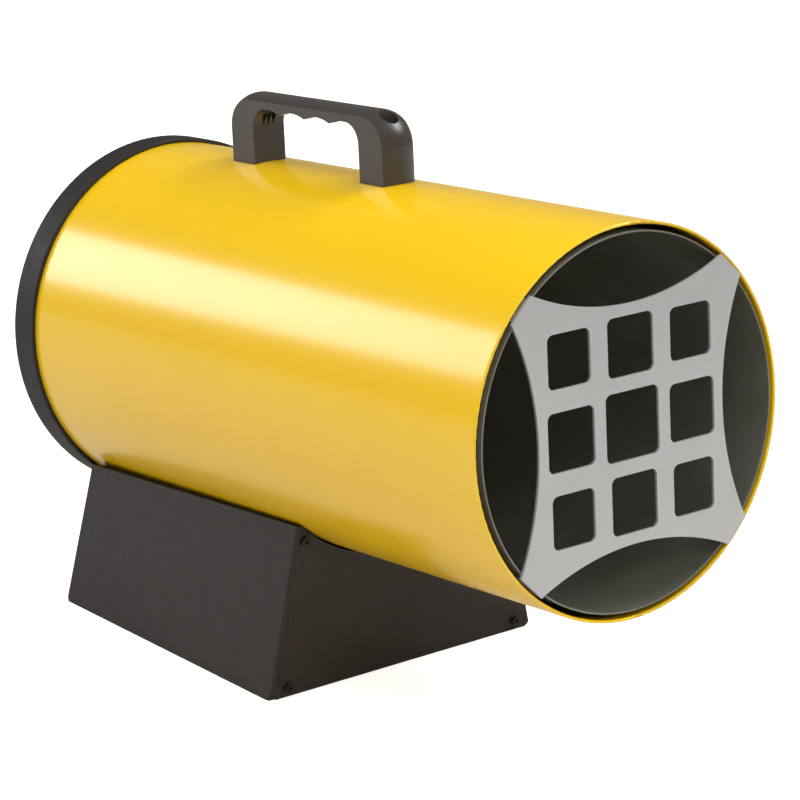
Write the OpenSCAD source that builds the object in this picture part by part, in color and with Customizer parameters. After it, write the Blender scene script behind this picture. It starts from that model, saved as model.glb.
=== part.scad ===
// Portable gas forced air heater: a tilted tube with its fan and burner, on a folded sheet base.
// Millimetres. The floor is z = 0, the outlet faces -y, and the origin is the middle of the base
// on the floor.
// Pieces in the tube are drawn in the tube's own frame: y runs rearward along its axis from the outlet rim,
// x is to the right, and z is up. Pieces on the control panel are drawn in that panel's frame, with y = 0
// on its outer face and y pointing out of the base.

/* [Casing] */
// Outer diameter of the casing
casing_d = 200; // [192:1:212]
// Length of the casing from the outlet rim to its rear flange
casing_len = 396; // [388:1:425]
// Thickness of the casing sheet
casing_sheet = 0.8; // [0.6:0.1:1.2]
// Depth of the hem folded inward round the outlet
hem_depth = 7; // [4:0.5:12]
// Width of the flange turned inward at the rear
rear_flange_w = 12; // [10:0.5:14]
// Upward tilt of the outlet, in degrees
tilt = 4.16; // [2:0.02:6]
// Distance that the outlet stands out in front of the base
overhang = 177; // [165:1:185]

/* [Combustion chamber] */
// Distance from the rear end of the chamber to the rear end of the casing
chamber_room = 156; // [150:1:168]
// Air gap between the chamber and the casing
chamber_gap = 3.7; // [3.5:0.1:5]
// Thickness of the chamber sheet
chamber_sheet = 0.8; // [0.6:0.1:1.2]

/* [Outlet grille] */
// Thickness of the grille plate
grille_sheet = 1.5; // [1:0.1:2]
// Distance from the axis to the middle of each hollowed side
grille_waist = 60.7; // [57:0.1:64]
// Radius of the hollowed sides
grille_side_r = 145; // [130:1:165]
// Distance between the middles of neighbouring windows
window_pitch = 39.9; // [38:0.1:41]
// Side of the middle window
window_middle = 34.9; // [30:0.1:36]
// Side of the four windows beside the middle one
window_side = 30; // [26:0.1:32]
// Side of the four corner windows
window_corner = 27.3; // [24:0.1:28]
// Corner radius of the windows
window_round = 3.6; // [2:0.1:5]

/* [Rear end] */
// Width of the rear ring along the tube
ring_w = 18.7; // [16:0.1:24]
// Thickness of the ring's skirt over the casing
ring_skirt = 2.05; // [1.7:0.05:3.7]
// Overlap of the rear ring on the casing
ring_overlap = 12.5; // [9:0.1:14]
// Thickness of the ring's rear web
ring_web = 2.5; // [2:0.1:3]
// Thickness of the guard's rim and spokes
guard_wire = 3.2; // [2.4:0.1:3.4]
// Thickness of the guard's rings
guard_ring_wire = 2.2; // [1.6:0.1:2.6]
// Distance between the guard's rings
guard_pitch = 10.4; // [9:0.1:11.5]

/* [Handle] */
// Length of the handle along the tube
handle_len = 133.5; // [125:0.5:145]
// Width of the handle
handle_w = 21; // [18:0.5:26]
// Height of the grip's side edge above the casing
handle_rise = 35; // [34:0.5:42]
// Distance from the outlet rim to the handle
handle_y = 174.5; // [160:0.5:185]
// Height of the crown of the grip's outer face
handle_crown = 3.2; // [2:0.1:4.5]
// Depth of each leg along the tube
leg_depth = 20; // [18:0.5:24]
// Outer corner radius of the handle
handle_corner = 16; // [14:0.5:17]
// Thickness of the grip over the finger hollows, up to its side edge
grip_depth = 4; // [3.8:0.1:6]
// Distance between the ridges of the finger hollows
finger_pitch = 22.1; // [19:0.1:24]
// Depth of the finger hollows
finger_depth = 2.2; // [1:0.1:3]

/* [Fan and motor] */
// Gap between the blade tips and the casing
fan_tip_gap = 9.2; // [8.2:0.1:14.2]
// Number of blades
blade_count = 5; // [3:1:7]
// Width of a blade along its section at the root
blade_chord = 33; // [26:1:36]
// Pitch of the blades at the root, in degrees
pitch_root = 40; // [34:1:44]
// Pitch of the blades at the tip, in degrees
pitch_tip = 24; // [18:1:30]
// Diameter of the fan hub
hub_d = 46; // [40:1:54]
// Diameter of the motor shaft
shaft_d = 6; // [5:0.5:8]
// Diameter of the motor's laminated stack
stator_d = 84; // [80:1:90]
// Length of the laminated stack
stator_len = 20; // [16:1:24]
// Depth of each motor shield
shield_depth = 14; // [12:0.5:16]

/* [Burner] */
// Diameter of the burner cup's mouth
cup_mouth_d = 92; // [80:1:110]
// Diameter of the burner cup's rear plate
cup_rear_d = 52; // [48:1:60]
// Depth of the burner cup
cup_depth = 38; // [30:1:46]
// Number of air holes in each row round the cup
cup_hole_count = 12; // [8:1:16]
// Diameter of the gas pipe
pipe_d = 8; // [6:0.5:9]

/* [Base] */
// Distance that the casing stands out behind the base
rear_overhang = 21; // [20.5:0.5:30]
// Width of the base on the floor
base_w = 182; // [176:1:192]
// Height of the casing's underside at the front of the base
under_h = 67.3; // [66:0.1:75]
// Angle below the horizontal at which the side panels meet the casing, in degrees
contact_angle = 45.7; // [44:0.1:47]
// Forward lean of the control panel, in degrees
rear_lean = 3.8; // [0:0.1:6]
// Thickness of the base sheet
base_sheet = 1.2; // [0.8:0.1:1.4]
// Outer radius of the folds beside the panels
fold_r = 1.6; // [1.5:0.1:2.5]

/* [Controls] */
// Width of the fan switch
switch_w = 21; // [19:0.5:26]
// Height of the fan switch
switch_h = 30; // [26:0.5:32]
// Tilt of the rocker to either side, in degrees
rocker_tilt = 8; // [6:0.5:10]
// Diameter of the valve button
valve_button_d = 14; // [12:0.5:16]
// Travel of the valve button
valve_travel = 5; // [3:0.5:6]
// Diameter of the igniter button
igniter_button_d = 9.6; // [8:0.2:11]
// Travel of the igniter button
igniter_travel = 6; // [4:0.5:7]

/* [Hidden] */

$fn = 96;

// Overrun of every cut past the face that it goes through
over = 1;
// Clearance of pieces that rest against a curved face
seat_gap = 0.2;
// Radial clearance of pieces that turn or slide in a bore
run_gap = 0.06;
// Clearance of moving pieces beside a wall, and of screws and necks in their holes
side_gap = 0.3;
// Clearance of pieces pressed or screwed together
press_gap = 0.02;
// Swelling of a tube or wire in its bends
bend_bulge = 0.05;

// Colours
yellow = [0.93, 0.75, 0.10];
satin_black = [0.17, 0.16, 0.16];
sheet_brown = [0.24, 0.22, 0.22];
grille_silver = [0.72, 0.72, 0.71];
chamber_steel = [0.35, 0.35, 0.33];
zinc = [0.66, 0.67, 0.68];
brass = [0.78, 0.62, 0.28];
copper = [0.72, 0.42, 0.25];
cast_alloy = [0.60, 0.61, 0.62];
ceramic_white = [0.90, 0.88, 0.84];
wire_black = [0.10, 0.10, 0.10];

// Casing
casing_r = casing_d / 2;
casing_ri = casing_r - casing_sheet;
flange_y = casing_len - casing_sheet;
flange_ri = casing_ri - rear_flange_w;

// Combustion chamber
chamber_len = casing_len - chamber_room;
chamber_r = casing_ri - chamber_gap;
chamber_ri = chamber_r - chamber_sheet;
spacer_w = 12;
spacer_crown = 9;
spacer_slope = 3;
spacer_foot = 6;
spacer_inset = 60;
spacer_rear_inset = 28;
spacer_count = 4;

// Outlet grille
tip_reach = chamber_r + seat_gap + grille_sheet;
tab_w = 13;
tab_len = 12;

// Rear ring, guard and their screws
ring_r = casing_r + side_gap + ring_skirt;
ring_front = casing_len - ring_overlap;
ring_rear = ring_front + ring_w;
ring_round = 1.2;
ring_lip = 2;
ring_chamfer = 0.6;
web_y = casing_len;
web_ri = flange_ri - 1.5 * casing_sheet;
guard_screw_count = 4;
guard_screw_d = 4;
guard_head_d = 6.8;
guard_head_h = 2.6;
guard_screw_r = (flange_ri + casing_ri) / 2 + casing_sheet;
guard_screw_reach = 6;
guard_tab_w = 10;
guard_tab = 1.2;
guard_r = flange_ri + guard_wire / 2;
guard_weld = 0.3;
guard_y = web_y + ring_web + guard_tab + guard_wire / 2 - guard_weld;
guard_ring_y = guard_y + (guard_wire + guard_ring_wire) / 2 - guard_weld;
guard_ring_count = floor((guard_r - hub_d / 4) / guard_pitch);
guard_eye_r = guard_r - guard_ring_count * guard_pitch;

// Handle, with its heights measured from the tube's axis
edge_z = casing_r + handle_rise;
handle_end = handle_y + handle_len;
crown_r = (pow(handle_w / 2, 2) + pow(handle_crown, 2)) / (2 * handle_crown);
window_top = edge_z - grip_depth;
window_corner_r = 11;
hollow_r = (pow(finger_pitch / 2, 2) + pow(finger_depth, 2)) / (2 * finger_depth);
ridge_count = 3;
handle_mid = handle_y + handle_len / 2;
handle_screw_inset = 6.4;
handle_screw_d = 5;
handle_bore_d = 10;
handle_head_d = 8.6;
handle_head_h = 3.6;
handle_seat_z = edge_z - 1.4 * handle_corner;
handle_nut_h = 2.6;
handle_nut_w = 8;
core_tooth = 3.2;
core_tooth_count = 3;
core_drop = 6;
core_depth = 2.4;
core_end = 1.4;

// Motor bracket and motor
bracket_t = 2;
bracket_y = flange_y - bracket_t;
bracket_arm_w = 20;
bracket_eye_d = 30;
motor_rear = bracket_y;
stator_y = motor_rear - shield_depth - stator_len;
motor_front = stator_y - shield_depth;
shield_wall = 2.6;
shield_step = 3;
shield_d = stator_d - shield_step;
shield_boss_d = 22;
shield_boss_out = 4;
shield_slot_count = 8;
shield_slot_w = 5;
shield_slot_len = 9;
shield_slot_r = 25;
rotor_d = 38;
rotor_gap = 0.4;
bolt_count = 4;
bolt_inset = 6;
bolt_r = stator_d / 2 - bolt_inset;
bolt_d = 4;
bolt_lug_d = 9;
bolt_head_h = 2.8;
bolt_head_d = 7;
bolt_nut_h = 3.2;
winding_inner_gap = 3;
winding_outer_gap = 1;
winding_ri = rotor_d / 2 + winding_inner_gap;
winding_ro = bolt_r - bolt_lug_d / 2 - winding_outer_gap;
winding_len = 8;
winding_round = 2.4;
bush_d = 12;
bush_len = 9;
shaft_inset = 2;
shaft_rear = motor_rear - shaft_inset;

// Fan
fan_r = casing_ri - fan_tip_gap;
blade_len = fan_r - hub_d / 2;
blade_sheet = 1.7;
blade_camber = 4;
blade_widening = 1.35;
blade_steps = 8;
fan_len = 20;
fan_gap = 5;
fan_rear = motor_front - shield_boss_out - fan_gap;
fan_front = fan_rear - fan_len;
fan_mid = fan_rear - fan_len / 2;
hub_wall = 2.5;
hub_round = 6;
hub_boss_d = 15;
fan_nut_h = 5;
fan_nut_w = 10;
shaft_end = 2;
shaft_front = fan_front - fan_nut_h - shaft_end;

// Burner
cup_sheet = 1.2;
cup_y = chamber_len - cup_depth;
cup_hole_d = 6;
cup_lip = 4;
strap_w = 15;
strap_t = 1.5;
strap_tab = 12;
nozzle_hex = 14;
nozzle_neck_d = 9;
nozzle_reach = 12;
nozzle_len = 11;
nozzle_thread_d = 10;
nozzle_thread = 6;
nozzle_bore_d = 4;
jet_d = 1.2;
port_out = 2.5;
port_r = (cup_rear_d + nozzle_neck_d) / 4 + port_out;
port_place = port_r / sqrt(2);
electrode_d = 6;
electrode_len = 34;
electrode_out = 22;
spark_d = 1.6;
spark_len = 14;
probe_d = 5;
probe_in = 16;
probe_hex = 8;
probe_hex_h = 5;

// Gas pipe and leads
nozzle_end = chamber_len + strap_t + nozzle_len + nozzle_thread;
slot_inset = 42;
slot_y = chamber_len + slot_inset;
slot_w = 38;
slot_len = 14;
pipe_bend = 12;
lead_low = 17;
motor_lead_low = 11;
pipe_nut_w = 14;
pipe_nut_h = 9;
lead_d = 3.6;
probe_lead_d = 2.4;
lead_bend = 7;

// Overheat thermostat
thermostat_d = 15;
thermostat_h = 8;
thermostat_angle = 62;
thermostat_ear = 24;
thermostat_ear_w = 8;
thermostat_rivet_d = 3;

// Base, with the tube carried by its side panels
base_len = casing_len * cos(tilt) - overhang - rear_overhang;
base_front = -base_len / 2;
base_rear = base_len / 2;
fold_standoff = 2.6;
fold_x = (casing_r + fold_standoff) * cos(contact_angle);
axis_h = under_h + casing_r / cos(tilt);
base_h = axis_h - (casing_r + fold_standoff) * sin(contact_angle) / cos(tilt);
side_lean = atan((base_w / 2 - fold_x) / base_h);
rim_y = base_front - overhang;
rim_h = axis_h + overhang * tan(tilt);
rear_h = (base_h - base_len * tan(tilt)) / (1 - tan(rear_lean) * tan(tilt));
rear_top_y = base_rear - rear_h * tan(rear_lean);
side_corner_r = 2.4;
top_flange_w = 14;
mitre_len = 15;
mitre_start = 6;
lip_w = 0.4;
panel_gap = 0.3;
cover_flange_w = 15;
cover_inset = fold_r + lip_w + base_sheet + side_gap;
cover_floor_gap = 0.4;
cover_top_gap = 2.5;
cover_arc_gap = 1.2;
front_cover_h = base_h - cover_top_gap;
rear_cover_h = rear_h / cos(rear_lean) - cover_top_gap;
saddle_inset = 26;
saddle_rear_inset = 9.5;
saddle_from_angle = contact_angle - 5.7;
saddle_to_angle = contact_angle + 14.3;
rivet_angle = contact_angle + 9.3;
rivet_count = 3;
rivet_d = 3.2;
rivet_head_d = 6.4;
rivet_head_h = 1.2;
rivet_end = 18;

// Cover screws
cover_screw_d = 3;
cover_head_d = 5.4;
cover_head_h = 1.9;
cover_socket_d = 2.2;
cover_screw_len = 8;
cover_screw_low = 5.5;
cover_screw_high = 8.8;
cover_screw_in = 6.3;
cover_screw_in_low = 10.6;

// Controls, placed on the control panel
neck_out = 4;
valve_share = -0.46;
valve_x = valve_share * base_w / 2;
valve_button_z = 38;
valve_inlet_z = 16;
valve_barrel_d = 26;
valve_barrel_len = 38;
valve_block_w = 22;
valve_block_len = 30;
valve_neck_wall = 2;
valve_neck_d = valve_button_d + 2 * valve_neck_wall;
valve_button_out = 9;
valve_button_in = 9;
control_nut_wall = 3.2;
valve_nut_d = valve_neck_d + 2 * control_nut_wall;
inlet_hex = 17;
inlet_hex_h = 8;
inlet_thread_d = 13;
inlet_thread = 12;
inlet_bore_d = 5;
inlet_seat_d = 12;
outlet_boss_d = 13;
outlet_boss_len = 6;
valve_outlet_y = -base_sheet - valve_block_len - outlet_boss_len;
igniter_share = -0.09;
igniter_x = igniter_share * base_w / 2;
igniter_z = 27;
igniter_barrel_d = 16;
igniter_barrel_len = 34;
igniter_neck_wall = 2.5;
igniter_neck_d = igniter_button_d + 2 * igniter_neck_wall;
igniter_button_out = 8;
igniter_button_in = 8;
igniter_nut_d = igniter_neck_d + 2 * control_nut_wall;
spigot_d = 6;
spigot_len = 7;
control_nut_h = 3;
switch_share = 0.28;
switch_x = switch_share * base_w / 2;
switch_z = 27;
bezel_h = 2;
bezel_lap = 1.6;
switch_depth = 20;
switch_wall = 1.3;
rocker_w = switch_w - 2 * (bezel_lap + switch_wall + side_gap);
rocker_r = switch_h / 2 - bezel_lap - switch_wall - side_gap;
rocker_pivot_y = -2.5;
rocker_pin_d = 2;
rocker_edge = 7.4;
rocker_middle = 4.6;
rocker_foot = 5;
rocker_foot_w = 15;
rocker_room = 7.2;
blade_terminal_w = 6.3;
blade_terminal_t = 0.8;
blade_terminal_len = 8;
gland_share = 0.59;
gland_x = gland_share * base_w / 2;
gland_z = 19;
gland_hex = 19;
gland_hex_h = 5;
gland_neck_d = 16;
gland_neck_len = 8;
gland_cap_d = 17;
gland_cap_len = 14;
gland_cap_round = 3;
gland_bore_d = 8;
gland_nut_h = 4;
gland_nut_w = 22;

// Terminal block
block_place_share = 0.52;
block_x = 36;
block_y = base_front + block_place_share * base_len;
block_w = 34;
block_len = 18;
block_h = 15;
block_pole_count = 3;
block_pole_d = 5;
block_pole_depth = 6;
block_wire_d = 4;
block_round = 1.5;

// Maps a point of the tube's frame to the floor frame
function to_floor(p) = [
    p.x,
    rim_y + p.y * cos(tilt) + p.z * sin(tilt),
    rim_h - p.y * sin(tilt) + p.z * cos(tilt)
];
// Maps a point of the control panel's frame to the floor frame
function from_panel(p) = [
    p.x,
    base_rear + p.y * cos(rear_lean) - p.z * sin(rear_lean),
    p.y * sin(rear_lean) + p.z * cos(rear_lean)
];
// Place along the tube of a point at floor length y and tube height z
function tube_y(y, z) = (y - rim_y - z * sin(tilt)) / cos(tilt);
// Height of the side panels' top edge, measured up their slope
function side_top(y) = (base_h - (y - base_front) * tan(tilt)) / cos(side_lean);
function unit(v) = v / norm(v);

module tube_frame() {
    translate([0, rim_y, rim_h]) rotate([-tilt, 0, 0]) children();
}

module panel_frame() {
    translate([0, base_rear, 0]) rotate([rear_lean, 0, 0]) children();
}

// The right-hand side panel's frame: x points outward, z runs up the slope
module side_frame() {
    translate([base_w / 2, 0, 0]) rotate([0, -side_lean, 0]) children();
}

module both_sides() {
    children();
    mirror([1, 0, 0]) children();
}

// Turns a profile of radius and y about the y axis
module revolved() {
    rotate([-90, 0, 0]) rotate_extrude() children();
}

// A plate with its outline in x and z, from y on
module plate(y, t) {
    translate([0, y + t, 0]) rotate([90, 0, 0]) linear_extrude(t) children();
}

// A round bar along y
module rod(d, y, len, x = 0, z = 0) {
    translate([x, y, z]) rotate([-90, 0, 0]) cylinder(d = d, h = len);
}

// A hexagonal bar along y, measured across its flats
module hex_rod(w, y, len, x = 0, z = 0) {
    translate([x, y, z]) rotate([-90, 0, 0]) cylinder(d = w / cos(30), h = len, $fn = 6);
}

// Copies round the y axis
module around(count, start = 0) {
    for (i = [0 : count - 1]) rotate([0, start + i * 360 / count, 0]) children();
}

module rounded_square(w, h, r) {
    square([w - 2 * r, h], center = true);
    square([w, h - 2 * r], center = true);
    for (x = [-1, 1], z = [-1, 1]) translate([x * (w / 2 - r), z * (h / 2 - r)]) circle(r);
}

// Puts children drawn along +z so that they run from p along the unit direction w
module aim(p, w) {
    side = abs(w.z) < 0.9 ? unit(cross([0, 0, 1], w)) : unit(cross([0, 1, 0], w));
    up = cross(w, side);
    multmatrix([
        [side.x, up.x, w.x, p.x],
        [side.y, up.y, w.y, p.y],
        [side.z, up.z, w.z, p.z],
        [0, 0, 0, 1]
    ]) children();
}

// A round tube or wire through points, with its corners bent to one radius. Each bend bulges a hair past
// the straights, which run a little way into it.
module bent_run(points, d, bend) {
    lap = sqrt(bend * bend_bulge);
    last = len(points) - 1;
    dirs = [for (i = [0 : last - 1]) unit(points[i + 1] - points[i])];
    turns = [for (i = [1 : last - 1]) acos(dirs[i - 1] * dirs[i])];
    trims = [0, for (t = turns) bend * tan(t / 2), 0];
    for (i = [0 : last - 1]) {
        start = i == 0 ? 0 : trims[i] - lap;
        end = i == last - 1 ? 0 : trims[i + 1] - lap;
        aim(points[i] + dirs[i] * start, dirs[i])
            cylinder(d = d, h = norm(points[i + 1] - points[i]) - start - end);
    }
    for (i = [1 : last - 1]) {
        a = dirs[i - 1];
        n = unit(dirs[i] - a * (a * dirs[i]));
        c = points[i] - a * trims[i] + n * bend;
        k = cross(-n, a);
        multmatrix([
            [-n.x, a.x, k.x, c.x],
            [-n.y, a.y, k.y, c.y],
            [-n.z, a.z, k.z, c.z],
            [0, 0, 0, 1]
        ]) rotate_extrude(angle = turns[i - 1]) translate([bend, 0]) circle(d = d + 2 * bend_bulge);
    }
}

// The space that the tube takes up, with a clearance
module casing_room(gap) {
    tube_frame() rod(2 * (casing_r + gap), -over, casing_len + 2 * over);
}

module handle_screw_places() {
    for (y = [handle_y + handle_screw_inset, handle_end - handle_screw_inset])
        translate([0, y, 0]) children();
}

module rivet_places() {
    first = tube_y(base_front + saddle_inset, -casing_r) + rivet_end;
    final = tube_y(base_rear - saddle_rear_inset, -casing_r) - rivet_end;
    both_sides()
        for (i = [0 : rivet_count - 1])
            translate([0, first + (final - first) * i / (rivet_count - 1), 0])
                rotate([0, rivet_angle, 0]) rotate([0, 90, 0]) children();
}

module thermostat_place() {
    translate([0, slot_y, 0]) rotate([0, thermostat_angle, 0]) rotate([0, 90, 0]) children();
}

module thermostat_rivet_places() {
    for (side = [-1, 1])
        thermostat_place() translate([0, side * (thermostat_ear - thermostat_rivet_d) / 2, 0]) children();
}

// Rolled steel tube, hemmed at the outlet and flanged at the rear
module casing() {
    color(yellow) tube_frame() difference() {
        revolved() {
            translate([casing_ri, casing_sheet]) square([casing_sheet, casing_len - casing_sheet]);
            translate([casing_ri - casing_sheet, casing_sheet])
                square([casing_sheet, hem_depth - casing_sheet]);
            translate([casing_ri, casing_sheet]) circle(casing_sheet);
            translate([flange_ri, flange_y]) square([rear_flange_w + casing_sheet, casing_sheet]);
        }
        handle_screw_places() cylinder(d = handle_screw_d + 2 * side_gap, h = casing_r + over);
        around(guard_screw_count, 45)
            rod(guard_screw_d + 2 * side_gap, flange_y - over, casing_sheet + 2 * over, guard_screw_r);
        translate([0, slot_y, -casing_r - over]) linear_extrude(2 * over + casing_sheet + slot_w / 4)
            rounded_square(slot_w, slot_len, slot_len / 2 - side_gap);
        rivet_places() cylinder(d = rivet_d + 2 * press_gap, h = casing_r + over);
        thermostat_rivet_places() cylinder(d = thermostat_rivet_d + 2 * press_gap, h = casing_r + over);
    }
}

// Inner cylinder that carries the flame
module combustion_chamber() {
    color(chamber_steel) tube_frame()
        revolved() translate([chamber_ri, 0]) square([chamber_sheet, chamber_len]);
}

// Top-hat strips between the chamber and the casing
module chamber_spacers() {
    half = spacer_crown / 2;
    foot_start = half + spacer_slope;
    foot_end = foot_start + spacer_foot;
    low = sqrt(pow(chamber_r, 2) - pow(foot_start, 2)) + seat_gap;
    high = sqrt(pow(casing_ri, 2) - pow(half, 2)) - seat_gap;
    t = chamber_sheet;
    outline = [
        [foot_end, low],
        [foot_end, low + t],
        [foot_start, low + t],
        [half, high],
        [-half, high],
        [-foot_start, low + t],
        [-foot_end, low + t],
        [-foot_end, low],
        [-foot_start + t / 2, low],
        [-half + t / 2, high - t],
        [half - t / 2, high - t],
        [foot_start - t / 2, low]
    ];
    color(zinc) tube_frame()
        for (y = [spacer_inset, chamber_len - spacer_rear_inset - spacer_w])
            around(spacer_count)
                plate(y, spacer_w) polygon(outline);
}

// Cut sheet with nine windows, its four tips folded back over the chamber
module outlet_grille() {
    color(grille_silver) tube_frame() {
        plate(-grille_sheet, grille_sheet) difference() {
            rotate(45) square(2 * tip_reach, center = true);
            for (a = [0 : 90 : 270])
                rotate(a) translate([grille_waist + grille_side_r, 0]) circle(grille_side_r);
            rounded_square(window_middle, window_middle, window_round);
            for (a = [0 : 90 : 270]) rotate(a) {
                translate([window_pitch, 0]) rounded_square(window_side, window_side, window_round);
                translate([window_pitch, window_pitch])
                    rounded_square(window_corner, window_corner, window_round);
            }
        }
        around(4, 45)
            translate([tip_reach - grille_sheet, -grille_sheet, -tab_w / 2])
                cube([grille_sheet, grille_sheet + tab_len, tab_w]);
    }
}

// Moulded ring over the rear edge of the casing
module rear_ring() {
    color(satin_black) tube_frame() difference() {
        revolved() difference() {
            union() {
                translate([web_ri, ring_front]) square([ring_r - web_ri, ring_w - ring_round]);
                translate([web_ri, ring_front]) square([ring_r - web_ri - ring_round, ring_w]);
                translate([ring_r - ring_round, ring_rear - ring_round]) circle(ring_round);
            }
            translate([0, ring_front - over]) square([casing_r + side_gap, ring_overlap + over]);
            translate([0, web_y + ring_web]) square([ring_r - ring_lip, ring_w]);
            translate([ring_r, ring_front]) rotate(45) square(ring_chamfer * sqrt(2), center = true);
        }
        around(guard_screw_count, 45)
            rod(guard_screw_d + 2 * side_gap, web_y - over, ring_web + 2 * over, guard_screw_r);
    }
}

// Welded wire guard: a rim, crossed spokes, finger-safe rings and four screw tabs
module inlet_guard() {
    color(wire_black) tube_frame() {
        revolved() translate([guard_r, guard_y]) circle(d = guard_wire);
        revolved() translate([guard_eye_r, guard_y]) circle(d = guard_wire);
        around(4)
            translate([guard_eye_r, guard_y, 0]) rotate([0, 90, 0])
                cylinder(d = guard_wire, h = guard_r - guard_eye_r);
        for (i = [1 : guard_ring_count - 1])
            revolved() translate([guard_r - i * guard_pitch, guard_ring_y]) circle(d = guard_ring_wire);
        around(guard_screw_count, 45)
            plate(web_y + ring_web, guard_tab) difference() {
                union() {
                    translate([guard_screw_r, 0]) circle(d = guard_tab_w);
                    translate([guard_r - guard_wire / 2, -guard_tab_w / 2])
                        square([guard_screw_r - guard_r + guard_wire / 2, guard_tab_w]);
                }
                translate([guard_screw_r, 0]) circle(d = guard_screw_d + 2 * side_gap);
            }
    }
}

// Four screws that clamp the guard, the ring, the casing's flange and the motor bracket
module guard_screws() {
    head_y = web_y + ring_web + guard_tab;
    tip_y = bracket_y - guard_screw_reach;
    color(zinc) tube_frame() around(guard_screw_count, 45) {
        rod(guard_head_d, head_y, guard_head_h, guard_screw_r);
        rod(guard_screw_d, tip_y, head_y - tip_y + guard_head_h / 2, guard_screw_r);
    }
}

// Section of the grip: flat sides and a crowned outer face
module grip_section(depth) {
    translate([-handle_w / 2, -depth]) square([handle_w, depth]);
    intersection() {
        translate([0, handle_crown - crown_r]) circle(crown_r);
        translate([-handle_w / 2, 0]) square([handle_w, handle_crown]);
    }
}

module handle_corner_turn(start) {
    rotate([0, 90, 0]) rotate([0, 0, start]) rotate_extrude(angle = 90) intersection() {
        translate([handle_corner, 0]) rotate(-90) grip_section(handle_corner);
        translate([0, -handle_w / 2]) square([handle_corner + handle_crown, handle_w]);
    }
}

// Side view of the space under the grip, with ridges between the finger hollows
module hand_window() {
    y0 = handle_y + leg_depth;
    w = handle_len - 2 * leg_depth;
    difference() {
        union() {
            translate([y0, 0]) square([w, window_top - window_corner_r]);
            translate([y0 + window_corner_r, 0]) square([w - 2 * window_corner_r, window_top]);
            for (y = [y0 + window_corner_r, y0 + w - window_corner_r])
                translate([y, window_top - window_corner_r]) circle(window_corner_r);
        }
        for (i = [0 : ridge_count - 1]) {
            y = handle_mid + (i - (ridge_count - 1) / 2) * finger_pitch;
            difference() {
                translate([y - finger_pitch / 2, window_top - finger_depth])
                    square([finger_pitch, finger_depth + over]);
                for (side = [-1, 1])
                    translate([y + side * finger_pitch / 2, window_top - hollow_r]) circle(hollow_r);
            }
        }
    }
}

// Front view of the hollow in the grip's underside, which fades into the legs as pointed flutes
module grip_core() {
    core_w = core_tooth * core_tooth_count;
    foot_z = window_top - window_corner_r;
    translate([-core_w / 2, foot_z + core_drop]) square([core_w, window_corner_r - core_drop + core_depth]);
    for (i = [0 : core_tooth_count - 1])
        translate([(i + 0.5) * core_tooth - core_w / 2, foot_z])
            polygon([[0, 0], [core_tooth / 2, core_drop], [-core_tooth / 2, core_drop]]);
}

// Moulded carrying handle
module handle() {
    corner_z = edge_z - handle_corner;
    foot_z = casing_r - handle_crown;
    color(satin_black) tube_frame() difference() {
        union() {
            translate([0, handle_end - handle_corner, edge_z]) rotate([90, 0, 0])
                linear_extrude(handle_len - 2 * handle_corner) grip_section(handle_corner);
            translate([0, handle_y + handle_corner, corner_z]) handle_corner_turn(180);
            translate([0, handle_end - handle_corner, corner_z]) handle_corner_turn(90);
            translate([0, handle_y, foot_z])
                linear_extrude(corner_z - foot_z) rotate(180) grip_section(leg_depth);
            translate([0, handle_end, foot_z])
                linear_extrude(corner_z - foot_z) grip_section(leg_depth);
        }
        rotate([90, 0, 90]) linear_extrude(handle_w + 2 * over, center = true) hand_window();
        plate(handle_y + leg_depth - core_end, handle_len - 2 * (leg_depth - core_end)) grip_core();
        rod(2 * (casing_r + seat_gap), handle_y - handle_corner, handle_len + 2 * handle_corner);
        handle_screw_places() {
            translate([0, 0, handle_seat_z]) cylinder(d = handle_bore_d, h = handle_rise);
            translate([0, 0, casing_ri]) cylinder(d = handle_screw_d + 2 * side_gap, h = handle_rise);
        }
    }
}

module handle_screws() {
    tip_z = chamber_r + seat_gap;
    color(zinc) tube_frame() handle_screw_places() {
        translate([0, 0, handle_seat_z]) cylinder(d = handle_head_d, h = handle_head_h);
        translate([0, 0, tip_z]) cylinder(d = handle_screw_d, h = handle_seat_z - tip_z + handle_head_h / 2);
    }
}

// Thin nuts under the casing's skin
module handle_nuts() {
    color(zinc) tube_frame() handle_screw_places()
        translate([0, 0, casing_ri - handle_nut_h - seat_gap]) difference() {
            cylinder(d = handle_nut_w / cos(30), h = handle_nut_h, $fn = 6);
            translate([0, 0, -over])
                cylinder(d = handle_screw_d + 2 * press_gap, h = handle_nut_h + 2 * over);
        }
}

// Pressed cross of sheet that carries the motor on the casing's rear flange
module motor_bracket() {
    arm_len = guard_screw_r - bracket_arm_w / 2 + guard_screw_d;
    color(zinc) tube_frame() plate(bracket_y, bracket_t) difference() {
        union() {
            circle(d = stator_d);
            for (a = [45 : 90 : 315]) rotate(a) {
                translate([0, -bracket_arm_w / 2]) square([arm_len, bracket_arm_w]);
                translate([arm_len, 0]) circle(d = bracket_arm_w);
            }
        }
        circle(d = bracket_eye_d);
        for (a = [45 : 90 : 315]) rotate(a) {
            translate([guard_screw_r, 0]) circle(d = guard_screw_d + 2 * press_gap);
            translate([guard_screw_r / 2 + stator_d / 5, 0]) circle(d = bracket_arm_w / 2);
        }
        for (a = [0 : 90 : 270]) rotate(a) translate([bolt_r, 0]) circle(d = bolt_d + 2 * side_gap);
    }
}

// Laminated stack
module motor_stator() {
    color(chamber_steel) tube_frame() plate(stator_y, stator_len) difference() {
        circle(d = stator_d);
        circle(d = rotor_d + 2 * rotor_gap);
        for (a = [0 : 90 : 270]) rotate(a) translate([bolt_r, 0]) circle(d = bolt_d + 2 * side_gap);
    }
}

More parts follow.
